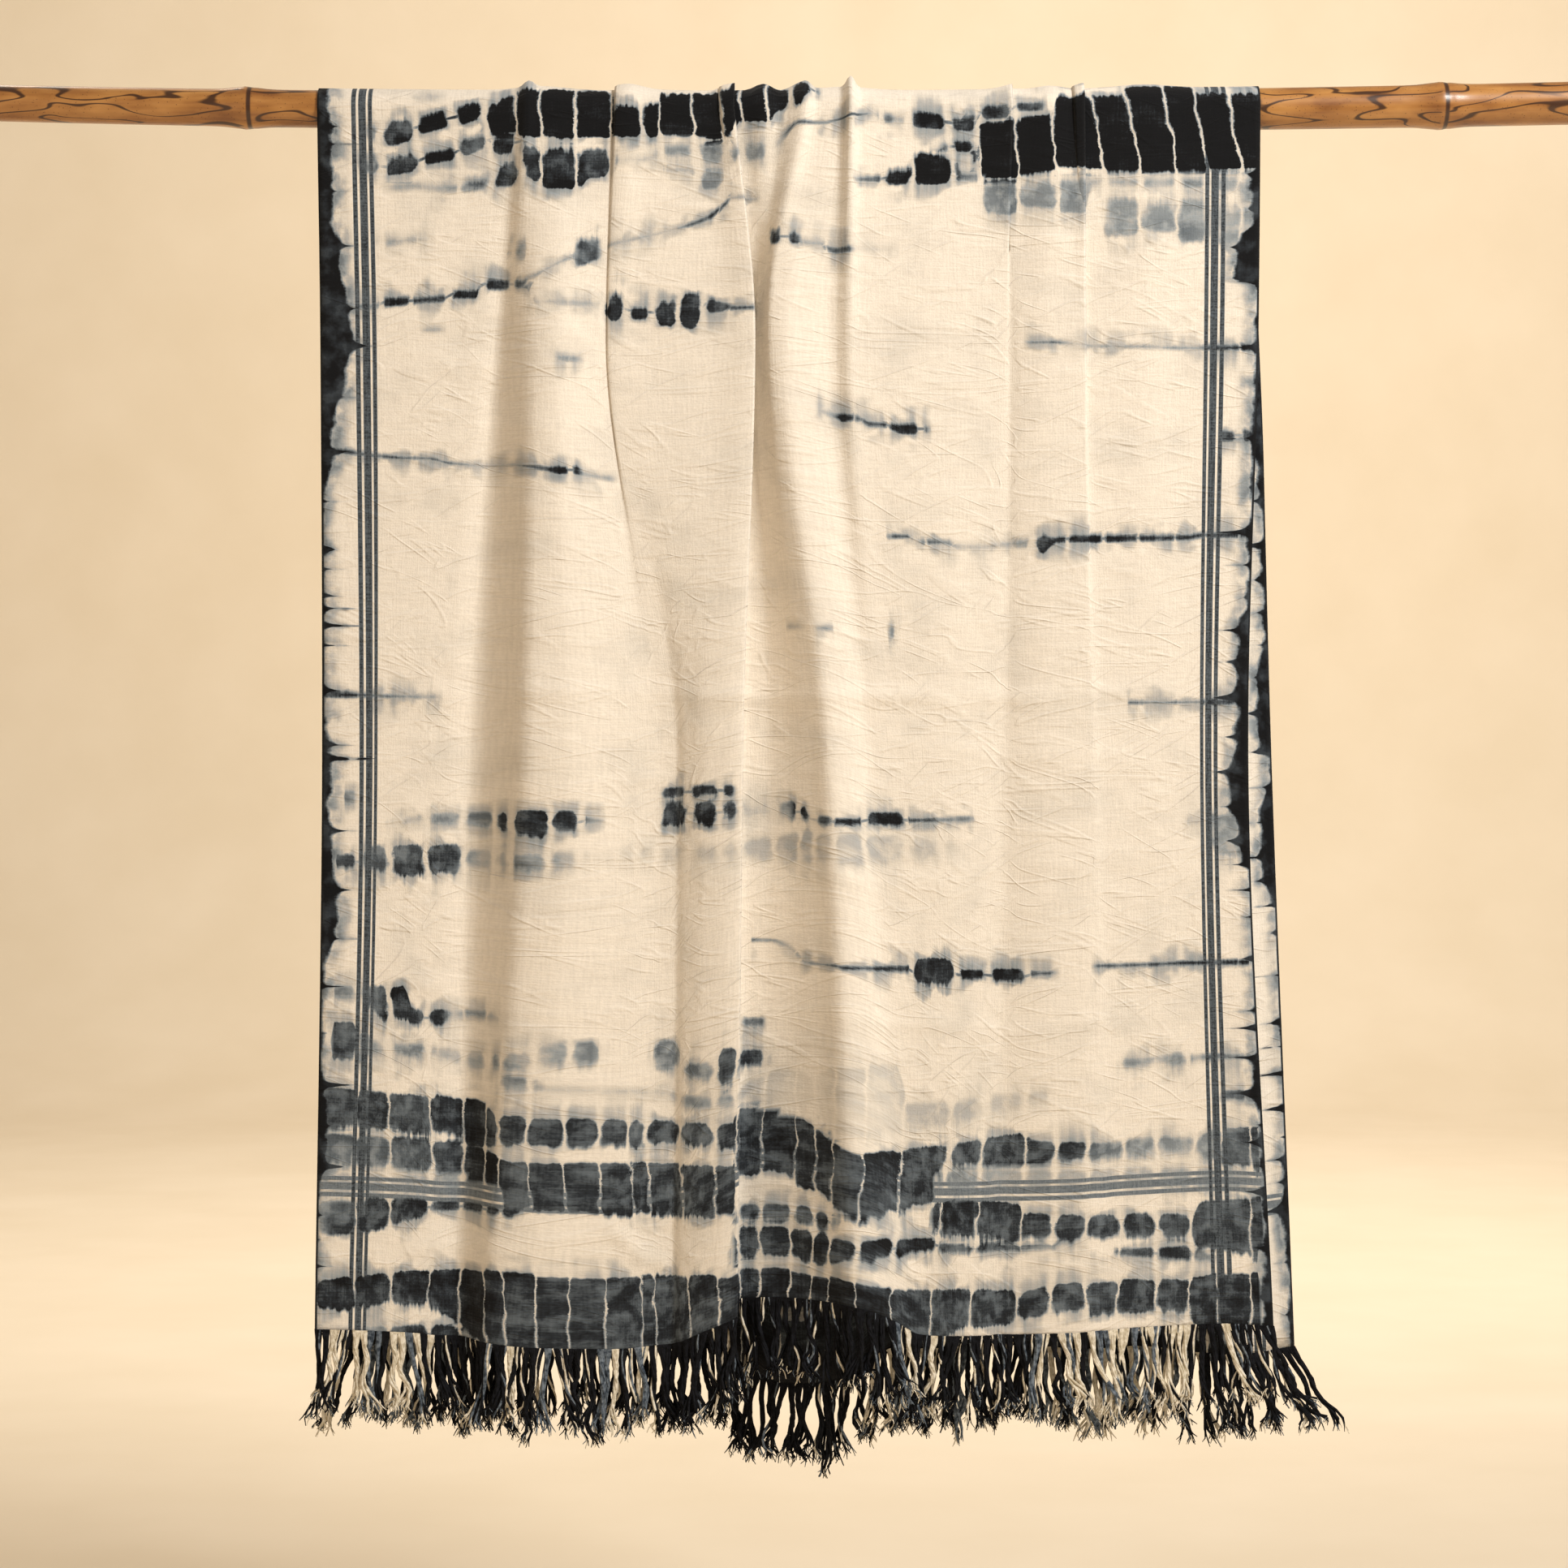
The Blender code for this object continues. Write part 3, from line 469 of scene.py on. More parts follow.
HAIR_LENGTHS = (0.003, 0.009)
HAIR_SHARE = 0.45
BLACK, SLATE, UNDYED = 0, 1, 2  # the yarns' finishes

# Slept-in crinkles: their slant from the weft in degrees, and how high they are where the cloth is
# smoothest and where it is most crumpled
CRINKLES = ((0, (0.08, 0.42)), (24, (0.42, 0.0)), (-20, (0.0, 0.4)))

# The culm's rings, close enough together for the nodes' ridges, and the scar beside each node
CULM_RINGS = 420
CULM_ROUNDING = 10
SCAR_AT = 0.0045
SCAR_DEPTH = -0.0005
SCAR_HALF_WIDTH = 0.0016

# What each attribute of the sheet's points tells the dye: for the nearest tied row how far inside it
# the point lies, its half height and its darkness; a number that is whole on each resist fold, the
# folds' spacing, and the distance past the row's middle line; the distance from the selvedge and the
# dyed edge's width; a number that is whole at each tie of the edge, the ties' spacing and their reach
DYE_ATTRIBUTES = {
    "dye_row": ("row_reach", "row_half", "row_dark"),
    "resist_fold": ("fold_place", "fold_spacing", "past_middle"),
    "dye_edge": ("from_selvedge", "edge_width"),
    "edge_tie": ("tie_place", "tie_spacing", "tie_reach"),
}

# The cotton's noises: how far each reaches across and down the cloth, in millimetres, and its detail.
# Threads are drawn 1.6 mm apart where real ones are 0.5 mm, so that they show.
COTTON_NOISES = {
    "warp": (1.6, 22, 2.0),
    "weft": (22, 1.6, 2.0),
    "grain": (1.7, 1.7, 2.0),
    "creep": (21, 21, 4.0),
    "runs": (4.5, 50, 2.0),
    "spread": (42, 30, 2.0),
    "cloud": (15, 13, 5.0),
    "haze": (60, 45, 4.0),
    "crush": (34, 15, 4.0),
}
CREEP_MM = (14.0, 17.0, 14.0)

# The bamboo's noises: how often each changes in a metre along the culm and across it, its detail and
# how far it is distorted
BAMBOO_NOISES = {
    "fibre": (12.0, 260.0, 4.0, 0.0),
    "tone": (20.0, 55.0, 3.0, 0.0),
    "loops": (16.0, 74.0, 0.0, 0.5),
}

# How the dye and the weave are drawn
STRIPES_MM = ((29.5, 33.0), (35.5, 41.6), (43.8, 47.0))  # from the selvedge
STRIPE_SPAN_MM = 60.0
STRIPE_BLUR_MM = 0.4
END_STRIPES_MM = 118.0  # the same stripes cross each end this far from its hem
DYE_SHADES = (
    (0.0, "#F1E8DB"),
    (0.12, "#DCD5CA"),
    (0.25, "#BDBBB8"),
    (0.42, "#9CA3A8"),
    (0.66, "#666F77"),
    (0.84, "#2E3339"),
    (0.95, "#16171A"),
    (1.0, "#121316"),
)

# The camera sees 1.352 m of width at the cloth's front, from the height of the cloth's middle
VIEW_WIDTH = 1.352
VIEW_DISTANCE = 3.0
VIEW_HEIGHT = -0.583
FRONT_OF_CLOTH = -0.02
SENSOR_MM = 36.0

# The stage
BACKDROP_AT = 8.0
BACKDROP_TOP = 5.0
FLOOR_AT = -1.5
STAGE_REACH = 30.0
STAGE_ROUNDING = 1.6
STAGE_STEPS = 12

# The lights: place, aim, size, power and colour
MIDDLE_OF_CLOTH = (0.0, 0.0, VIEW_HEIGHT)
LIGHTS = {
    "key": ((2.0, -2.05, 1.5), MIDDLE_OF_CLOTH, 1.0, 104.0, "#FFFDF8"),
    "fill": ((-2.2, -2.6, -0.2), MIDDLE_OF_CLOTH, 2.5, 9.0, "#FFEBD2"),
    "backdrop_wash": ((1.3, 2.4, 3.0), (0.0, BACKDROP_AT, 0.3), 2.2, 270.0, "#FFF6E8"),
    "back_fill": ((-2.2, 3.0, 2.9), MIDDLE_OF_CLOTH, 1.6, 55.0, "#FFF3E2"),
}
SURROUND_COLOUR = "#FFE8CC"
SURROUND_STRENGTH = 0.32


def add_camera():
    view = bpy.data.cameras.new("view")
    view.sensor_width = SENSOR_MM
    view.lens = SENSOR_MM * VIEW_DISTANCE / VIEW_WIDTH
    camera = bpy.data.objects.new("camera", view)
    camera.location = (0.0, FRONT_OF_CLOTH - VIEW_DISTANCE, VIEW_HEIGHT)
    camera.rotation_euler = (math.radians(90), 0.0, 0.0)
    bpy.context.scene.collection.objects.link(camera)
    bpy.context.scene.camera = camera


def linear(colour):
    """A colour written as an sRGB hex value, in the linear values that the shader wants."""
    parts = [int(colour[i : i + 2], 16) / 255 for i in (1, 3, 5)]
    return tuple(p / 12.92 if p <= 0.04045 else ((p + 0.055) / 1.055) ** 2.4 for p in parts) + (1.0,)


def add_node(tree, kind, inputs=(), operation=None, stops=(), **settings):
    """Adds a node. Inputs, by place or by name, are values or the nodes and sockets that feed them."""
    made = tree.nodes.new("ShaderNode" + kind)
    if operation:
        made.operation = operation
    for setting, value in settings.items():
        setattr(made, setting, value)
    for name, value in inputs.items() if isinstance(inputs, dict) else enumerate(inputs):
        value = value.outputs[0] if isinstance(value, bpy.types.Node) else value
        if isinstance(value, bpy.types.NodeSocket):
            tree.links.new(value, made.inputs[name])
        else:
            made.inputs[name].default_value = value
    for place, colour in stops[2:]:
        made.color_ramp.elements.new(place)
    for element, (place, colour) in zip(made.color_ramp.elements if stops else (), stops):
        element.position = place
        element.color = linear(colour) if isinstance(colour, str) else (colour, colour, colour, 1.0)
    return made


def new_material(name, shading):
    """A material with its node tree and its Principled shader, which takes the shading's plain values."""
    made = bpy.data.materials.new(name)
    made.use_nodes = True
    shader = made.node_tree.nodes["Principled BSDF"]
    for socket, value in shading.items():
        shader.inputs[socket].default_value = value
    return made, made.node_tree, shader


def steady_slopes(known, values):
    """Slopes of a curve through the values that never swings past them."""
    steps = np.diff(known)
    rises = np.diff(values) / steps
    slopes = np.zeros(len(values))
    slopes[0], slopes[-1] = rises[0], rises[-1]
    for i in range(1, len(values) - 1):
        if rises[i - 1] * rises[i] > 0:
            before, after = 2 * steps[i] + steps[i - 1], steps[i] + 2 * steps[i - 1]
            slopes[i] = (before + after) / (before / rises[i - 1] + after / rises[i])
    return slopes


def steady_curve(known, values, at):
    """The smooth curve through the values, read at other places."""
    known, values = np.asarray(known, float), np.asarray(values, float)
    slopes = steady_slopes(known, values)
    cell = np.clip(np.searchsorted(known, at, side="right") - 1, 0, len(known) - 2)
    step = known[cell + 1] - known[cell]
    share = (np.asarray(at, float) - known[cell]) / step
    start = (1 + 2 * share) * (1 - share) ** 2 * values[cell]
    start = start + share * (1 - share) ** 2 * step * slopes[cell]
    end = share**2 * (3 - 2 * share) * values[cell + 1]
    end = end - share**2 * (1 - share) * step * slopes[cell + 1]
    return start + end


def column_of(table, columns, name):
    return np.array([row[columns.index(name)] for row in table], float)


def sheet_columns():
    """Places of the sheet's columns, counted in fold lines."""
    at_pole = column_of(FOLD_LINES, FOLD_COLUMNS, "x_pole")
    at_hem = column_of(FOLD_LINES, FOLD_COLUMNS, "x_hem")
    places = []
    for line in range(len(at_pole) - 1):
        width = max(abs(at_pole[line + 1] - at_pole[line]), abs(at_hem[line + 1] - at_hem[line]))
        parts = max(CELLS_BETWEEN_LINES, math.ceil(width / CELL_WIDTH_MM))
        places += [line + part / parts for part in range(parts)]
    return np.array(places + [len(at_pole) - 1.0])


def node_swell(x, rise, half_width):
    away = (x - NODE_AT + NODE_PITCH / 2) % NODE_PITCH - NODE_PITCH / 2
    return rise * np.exp(-((away / half_width) ** 2))


def pole_radius(x):
    return POLE_RADIUS + POLE_TAPER * x


def pole_height(x):
    level = POLE_LENGTH / 2 - POLE_SQUARE_END
    return POLE_BOW * np.clip(x, -level, level) ** 2


def front_section(columns, depth):
    """Place along the pole and outward reach of the front at a depth, both in metres."""
    lines = np.arange(len(FOLD_LINES))
    sections = []
    for kind in ("x", "out"):
        names = [f"{kind}_{level}" for level in ("pole", "upper", "middle", "hem")]
        by_level = np.array([column_of(FOLD_LINES, FOLD_COLUMNS, name) for name in names])
        here = np.array([steady_curve(LEVELS, by_level[:, line], [depth])[0] for line in lines])
        sections.append(steady_curve(lines, here, columns) * MM)
    return sections


def width_share(columns):
    """How far across the cloth each column lies, from 0 to 1, measured along the gathered section."""
    x, out = front_section(columns, LEVELS[0])
    lengths = np.hypot(np.diff(x), np.diff(out))
    return np.concatenate([[0.0], np.cumsum(lengths)]) / lengths.sum()


def back_section(columns, depth):
    """The same for the back: the gathers at the pole, opening into even flutes."""
    gathered_x, gathered_out = front_section(columns, LEVELS[0])
    left = steady_curve(LEVELS, BACK_EDGES_MM["left"], [depth])[0] * MM
    right = steady_curve(LEVELS, BACK_EDGES_MM["right"], [depth])[0] * MM
    across = width_share(columns)
    reach = steady_curve(LEVELS, BACK_FLUTE_DEPTH_MM, [depth])[0] * MM
    fluted_x = left + (right - left) * across
    fluted_out = reach * (1 - np.cos(2 * math.pi * BACK_FLUTES * across))
    settled = min(1.0, depth / BACK_SETTLE)
    settled = settled**2 * (3 - 2 * settled)
    x = gathered_x + (fluted_x - gathered_x) * settled
    out = gathered_out + (fluted_out - gathered_out) * settled
    return x, out


def hanging_row(columns, depth_share, side):
    """One level row of the hanging cloth: side is -1 for the front and 1 for the back."""
    lines = np.arange(len(FOLD_LINES))
    front_drop = steady_curve(lines, column_of(FOLD_LINES, FOLD_COLUMNS, "drop"), columns) * MM
    drops = front_drop if side < 0 else LENGTH_OFF_POLE - front_drop
    section = front_section if side < 0 else back_section
    x, out = section(columns, depth_share * LEVELS[-1])
    cover = pole_radius(x) + node_swell(x, NODE_COVER_RISE, NODE_COVER_WIDTH)
    base = cover + (BASE_AT_HEM - cover) * depth_share
    return np.stack([x, side * (base + out), pole_height(x) - drops * depth_share], axis=1)


def pole_row(columns, angle):
    """One row of the cloth over the pole: angle 0 faces the viewer and 180 degrees the back."""
    x, out = front_section(columns, LEVELS[0])
    reach = pole_radius(x) + node_swell(x, NODE_COVER_RISE, NODE_COVER_WIDTH) + out
    return np.stack([x, -reach * math.cos(angle), pole_height(x) + reach * math.sin(angle)], axis=1)


def sheet_rows(columns):
    """The sheet's points, the way outwards at each, and each row's place along the warp.

    The place along the warp is 0 where the front leaves the pole, and grows towards the front hem.
    """
    rows, outward, along = [], [], []
    hem = LEVELS[-1]
    for step in range(FRONT_CELLS + 1):
        share = 1 - step / FRONT_CELLS
        rows.append(hanging_row(columns, share, -1))
        outward.append((0.0, -1.0, 0.0))
        along.append(hem * share)
    for step in range(1, POLE_CELLS):
        angle = math.pi * step / POLE_CELLS
        rows.append(pole_row(columns, angle))
        outward.append((0.0, -math.cos(angle), math.sin(angle)))
        along.append(-TURN_OVER_POLE * step / POLE_CELLS)
    for step in range(BACK_CELLS + 1):
        share = step / BACK_CELLS
        rows.append(hanging_row(columns, share, 1))
        outward.append((0.0, 1.0, 0.0))
        along.append(-TURN_OVER_POLE - hem * share)
    return np.array(rows), np.array(outward), np.array(along)


def crease_relief(x, depth):
    """Height of the listed creases at places on the front, in metres."""
    relief = np.zeros_like(x)
    for x_from, depth_from, x_to, depth_to, half_width, height in CREASES:
        start = np.array([x_from, depth_from], float)
        run = np.array([x_to - x_from, depth_to - depth_from], float)
        length = np.hypot(*run)
        along = ((x / MM - start[0]) * run[0] + (depth / MM - start[1]) * run[1]) / length**2
        away = ((x / MM - start[0]) * run[1] - (depth / MM - start[1]) * run[0]) / length
        away = away + CREASE_WANDER_MM * np.sin(along * CREASE_BENDS + x_from)
        ends = np.clip(along * CREASE_FADE, 0, 1) * np.clip((1 - along) * CREASE_FADE, 0, 1)
        uneven = 1 - CREASE_UNEVEN + CREASE_UNEVEN * np.sin(along * CREASE_SWELLS)
        relief += ends * height * MM * np.exp(-((away / half_width) ** 2)) * uneven
    return relief


def soft_relief(points):
    """Slow unevenness of the hanging cloth and its short wrinkles along the weft, in metres."""
    relief = np.zeros(len(points))
    for i, (x, y, z) in enumerate(points):
        side = 3.0 if y > 0 else 0.0
        slow = noise.noise(Vector((x / UNEVEN_SPAN[0], z / UNEVEN_SPAN[1], side)))
        wrinkle = noise.noise(Vector((x / WRINKLE_SPAN[0], z / WRINKLE_SPAN[1], side + 5.0)))
        where = noise.noise(Vector((x / GATHER_SPAN[0], z / GATHER_SPAN[1], side + 9.0)))
        where = max(0.0, where + GATHER_SHARE)
        relief[i] = UNEVEN_HEIGHT * slow + WRINKLE_HEIGHT * wrinkle * where
    return relief


def dye_rows_at(x, depth):
    """How far each point lies inside the nearest row's marks, their half height and their darkness.

    Last comes how far it lies beyond the row's middle line, towards the middle of the cloth's drop.
    """
    inside = np.full(x.shape, -1e9)
    half, dark, beyond = np.zeros_like(x), np.zeros_like(x), np.zeros_like(x)
    for row in DYE_ROWS:
        stations = column_of(row, DYE_COLUMNS, "x")
        top, foot, shade = [
            np.interp(x, stations, column_of(row, DYE_COLUMNS, name)) for name in ("top", "foot", "dark")
        ]
        shade = np.where((x < stations[0] - 1) | (x > stations[-1] + 1), 0.0, shade)
        off = depth - (top + foot) / 2
        reach = (foot - top) / 2 - np.abs(off)
        reach -= FAINT_ROW_RETREAT_MM * (1 - np.minimum(1, shade / FAINT_ROW))
        nearer = reach > inside
        inside = np.where(nearer, reach, inside)
        half = np.where(nearer, (foot - top) / 2, half)
        dark = np.where(nearer, shade, dark)
        beyond = np.where(nearer, np.where(depth < MIDDLE_OF_DROP_MM, off, -off), beyond)
    return inside, half, dark, beyond


def resist_folds_at(x, depth):
    """For each point a number that is whole on each resist fold, and the folds' spacing there."""
    places = np.array([np.interp(depth, RESIST_DEPTHS_MM, fold) for fold in RESIST_FOLDS])
    left = np.clip((places <= x).sum(axis=0) - 1, 0, len(RESIST_FOLDS) - 2)
    points = np.arange(len(x))
    spacing = places[left + 1, points] - places[left, points]
    return left + (x - places[left, points]) / spacing, spacing


def dyed_edges_at(across, depth, behind):
    """For each point its distance from the nearer selvedge, and the width of the dyed edge there."""
    width = CLOTH_WIDTH / MM
    read = {side: np.interp(depth, *zip(*widths)) for side, widths in EDGE_WIDTHS.items()}
    right = np.where(behind, read["back_right"], read["right"])
    return np.minimum(across, width - across), np.where(across < width / 2, read["left"], right)


def edge_ties_at(across, depth):
    """For each point a number that is whole at each tie of its edge, the ties' spacing and their reach."""
    read = {}
    for side, ties in EDGE_TIES.items():
        depths, reaches = np.array(ties, float).T
        above = np.clip(np.searchsorted(depths, depth, side="right") - 1, 0, len(depths) - 2)
        spacing = depths[above + 1] - depths[above]
        read[side] = above + (depth - depths[above]) / spacing, spacing, np.interp(depth, depths, reaches)
    left = across < CLOTH_WIDTH / MM / 2
    return [np.where(left, *pair) for pair in zip(read["left"], read["right"])]


def write_attribute(mesh, name, *values):
    """Writes up to three numbers for each point of the mesh, for the material to read."""
    vectors = np.zeros((len(mesh.vertices), 3), np.float32)
    for axis, value in enumerate(values):
        vectors[:, axis] = np.ravel(value)
    mesh.attributes.new(name, "FLOAT_VECTOR", "POINT").data.foreach_set("vector", vectors.ravel())


def add_cloth(finish):
    """The sheet on its solid's folds, with its creases, and what the dye needs to know at each point."""
    columns = sheet_columns()
    rows, outward, along = sheet_rows(columns)
    down, across = rows.shape[0], rows.shape[1]
    flat = rows.reshape(-1, 3)
    points = flat.copy()
    front = points[:, 1] < 0
    relief = soft_relief(points)
    relief[front] += crease_relief(points[front, 0], -points[front, 2])
    hanging = np.clip(-points[:, 2] / RELIEF_FULL_AT, 0, 1)
    points += np.repeat(outward, across, axis=0) * (relief * hanging)[:, None]
    mesh = bpy.data.meshes.new("shibori_cloth")
    mesh.from_pydata(points.tolist(), [], grid_faces(down, across).tolist())
    mesh.polygons.foreach_set("use_smooth", [True] * len(mesh.polygons))

    width = np.tile(width_share(columns) * CLOTH_WIDTH, down) / MM
    length = np.repeat(along, across) / MM
    turn = TURN_OVER_POLE / MM
    behind = length < -turn / 2
    depth = np.where(length > 0, (pole_height(flat[:, 0]) - flat[:, 2]) / MM, length)
    depth = np.where(behind, -turn - length, depth)
    mirrored_x = np.where(behind, -flat[:, 0], flat[:, 0]) / MM
    write_attribute(mesh, "cloth_place", width, length)
    inside, half, dark, beyond = dye_rows_at(mirrored_x, depth)
    soaked = behind & (depth > SOLID_BACK_HEM_MM - SOLID_HEM_FADE_MM)
    dark = np.where(soaked, np.maximum(dark, SOLID_HEM_DARK), dark)
    write_attribute(mesh, "dye_row", inside, half, dark)
    fold_number, spacing = resist_folds_at(mirrored_x, depth)
    solid = behind & (depth > SOLID_BACK_HEM_MM)
    spacing = np.where(solid, spacing * SOLID_HEM_FOLD_SPREAD, spacing)
    write_attribute(mesh, "resist_fold", fold_number, spacing, beyond)
    write_attribute(mesh, "dye_edge", *dyed_edges_at(width, depth, behind))
    write_attribute(mesh, "edge_tie", *edge_ties_at(width, depth))
    mesh.materials.append(finish)
    cloth = bpy.data.objects.new("shibori_cloth", mesh)
    bpy.context.scene.collection.objects.link(cloth)
    solidify = cloth.modifiers.new("thickness", "SOLIDIFY")
    solidify.thickness = CLOTH_THICKNESS
    solidify.offset = 0.0
    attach(cloth, "root")
    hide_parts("cloth")
    return cloth, points.reshape(rows.shape)


def read_cloth(add):
    """The place on the cloth, what its points tell of the dye, the noises and the threads, as sockets."""
    cloth = SimpleNamespace(place=add("Attribute", attribute_name="cloth_place").outputs["Vector"])
    for name, parts in DYE_ATTRIBUTES.items():
        read = add("SeparateXYZ", [add("Attribute", attribute_name=name).outputs["Vector"]])
        for part, socket in zip(parts, read.outputs):
            setattr(cloth, part, socket)
    for name, (across, down, detail) in COTTON_NOISES.items():
        at = add("VectorMath", [cloth.place, (1 / across, 1 / down, 0)], "MULTIPLY")
        made = add("TexNoise", {"Vector": at, "Scale": 1.0, "Detail": detail}, noise_dimensions="2D")
        setattr(cloth, name, made)
    threads = add("Math", [cloth.warp, cloth.weft], "ADD")
    threads = add("Math", [threads, cloth.grain], "ADD")
    cloth.threads = add("MapRange", [threads, 1.05, 1.95, -1.0, 1.0])

    # The dye's creep, which makes every edge wander
    creep = add("VectorMath", [cloth.creep.outputs["Color"], (0.5, 0.5, 0.5)], "SUBTRACT")
    creep = add("VectorMath", [creep, CREEP_MM], "MULTIPLY")
    cloth.creep_x, cloth.creep_y, cloth.creep_z = add("SeparateXYZ", [creep]).outputs

    # The place along the warp, and how far it lies from the fold over the pole
    cloth.along = add("SeparateXYZ", [cloth.place]).outputs["Y"]
    from_top = add("Math", [cloth.along, TURN_OVER_POLE / 2 / MM], "ADD")
    cloth.from_top = add("Math", [from_top], "ABSOLUTE")
    return cloth


def pleats_of(add, cloth):
    """How far a place lies inside its pleat, past the gap at the folds that the dye didn't reach.

    Then its distance from the nearest fold, and how unevenly the pleats took the dye. A thread's
    knots widen the gap, and the end border's folds were pressed tighter.
    """
    shift = add("Math", [cloth.creep_x, cloth.fold_spacing], "DIVIDE")
    fold = add("Math", [shift, 0.6, cloth.fold_place], "MULTIPLY_ADD")
    from_fold = add("Math", [fold], "FRACT")
    from_fold = add("Math", [from_fold, 0.5], "PINGPONG")
    from_fold = add("Math", [from_fold, cloth.fold_spacing], "MULTIPLY")
    from_fold = add("Math", [cloth.creep_z, 0.1, from_fold], "MULTIPLY_ADD")
    fold_number = add("Math", [fold], "FLOOR")
    down = add("Math", [cloth.along, 1 / 34], "MULTIPLY")
    cell = add("CombineXYZ", [fold_number, down])
    uneven = add("TexNoise", {"Vector": cell, "Scale": 1.7, "Detail": 0.0}, noise_dimensions="2D")
    low_gap = add("MapRange", [cloth.row_half, 1.5, 5.0, -3.0, 3.0])
    tall_gap = add("MapRange", [cloth.row_half, 8.0, 18.0, 3.0, 0.9])
    gap = add("Math", [low_gap, tall_gap], "MINIMUM")
    pressed = add("MapRange", [cloth.from_top, 850.0, 900.0, 1.0, 0.45])
    gap = add("Math", [gap, pressed], "MULTIPLY")
    knots = add("MapRange", [cloth.grain, 0.62, 0.72, 0.0, 1.0])
    gap = add("Math", [gap, knots], "ADD")
    in_pleat = add("Math", [from_fold, gap], "SUBTRACT")
    in_pleat = add("Math", [in_pleat, 1.7], "MULTIPLY")
    return in_pleat, from_fold, uneven


def rows_dye_of(add, cloth):
    """How strongly the tied rows dye a place: their marks, halos and tying threads, from 0 to 1."""
    in_pleat, from_fold, uneven = pleats_of(add, cloth)

    # The points lie too far apart to show a low row's middle, so its distance is mended here
    off_middle = add("Math", [cloth.row_half, cloth.row_reach], "SUBTRACT")
    beyond = add("Math", [cloth.past_middle], "ABSOLUTE")
    missed = add("Math", [off_middle, beyond], "SUBTRACT")
    missed = add("Math", [missed, 0.0], "MAXIMUM")
    near = add("MapRange", [off_middle, 3.4, 5.0, 1.0, 0.0])
    missed = add("Math", [missed, near], "MULTIPLY")
    within = add("Math", [cloth.row_reach, missed], "ADD")

    # Each mark is a little taller or lower than its neighbours, and its edge is feathered along the
    # warp, less so on the side of the row that faces the middle of the cloth's drop
    free = add("MapRange", [cloth.past_middle, -4.0, 4.0, 1.0, 0.35])
    wander = add("MapRange", [cloth.row_half, 1.0, 14.0, 0.08, 0.5])
    change = add("Math", [cloth.creep_y, wander], "MULTIPLY")
    taller = add("MapRange", [uneven, 0.3, 0.7, -0.16, 0.12])
    change = add("Math", [taller, cloth.row_half, change], "MULTIPLY_ADD")
    feather = add("MapRange", [cloth.runs, 0.3, 0.7, -1.0, 1.0])
    brushed = add("MapRange", [cloth.row_half, 1.0, 12.0, 0.25, 2.0])
    change = add("Math", [feather, brushed, change], "MULTIPLY_ADD")
    in_row = add("Math", [change, free, within], "MULTIPLY_ADD")

    # Its corners are round
    rounding = add("MapRange", [cloth.row_half, 12.0, 20.0, 12.0, 4.0])
    rounding = add("Math", [rounding, cloth.row_half], "MINIMUM")
    rounding = add("Math", [rounding, 2.0], "MAXIMUM")
    lacking = add("CombineXYZ", [in_row, in_pleat])
    lacking = add("VectorMath", [rounding, lacking], "SUBTRACT")
    lacking = add("VectorMath", [lacking, (0, 0, 0)], "MAXIMUM")
    lacking = add("VectorMath", [lacking, (1, 1, 0)], "MULTIPLY")
    lacking = add("VectorMath", [lacking], "LENGTH").outputs["Value"]
    inside = add("Math", [rounding, lacking], "SUBTRACT")
    softness = add("MapRange", [cloth.row_dark, 0.35, 0.8, 5.5, 1.9])
    soft_side = add("MapRange", [free, 0.35, 1.0, 0.6, 1.2])
    softness = add("Math", [softness, soft_side], "MULTIPLY")
    low_soft = add("MapRange", [cloth.row_half, 7.0, 16.0, 1.5, 1.0])
    softness = add("Math", [softness, low_soft], "MULTIPLY")
    mark = add("Math", [inside, softness], "DIVIDE")
    mark = add("Math", [cloth.threads, 0.16, mark], "MULTIPLY_ADD")
    mark = add("MapRange", [mark, -1.0, 1.3, 0.0, 1.0], interpolation_type="SMOOTHSTEP")

    # A paler halo where thin dye ran along the warp, further in some places than in others
    run_length = add("MapRange", [cloth.spread, 0.4, 0.65, -3.0, -24.0])
    halo = add("MapRange", [in_row, run_length, 3.0, 0.0, 0.5], interpolation_type="SMOOTHSTEP")
    split = add("MapRange", [from_fold, 0.5, 6.0, 0.25, 1.0], interpolation_type="SMOOTHSTEP")
    streaks = add("MapRange", [cloth.runs, 0.3, 0.7, 0.75, 1.05])
    halo = add("Math", [halo, split], "MULTIPLY")
    halo = add("Math", [halo, streaks], "MULTIPLY")
    dye = add("Math", [mark, halo], "MAXIMUM")

    # The tying thread's own line, which joins the marks of a low row
    from_line = add("Math", [off_middle, missed], "SUBTRACT")
    from_line = add("Math", [cloth.creep_x, 0.08, from_line], "MULTIPLY_ADD")
    line = add("MapRange", [from_line, 0.5, 2.2, 1.0, 0.0], interpolation_type="SMOOTHSTEP")
    low = add("MapRange", [cloth.row_half, 8.0, 13.0, 0.8, 0.0])
    strong = add("MapRange", [cloth.row_dark, 0.68, 0.92, 0.0, 1.0])
    line = add("Math", [line, low], "MULTIPLY")
    line = add("Math", [line, strong], "MULTIPLY")
    dye = add("Math", [dye, line], "MAXIMUM")
    dye = add("Math", [dye, cloth.row_dark], "MULTIPLY")
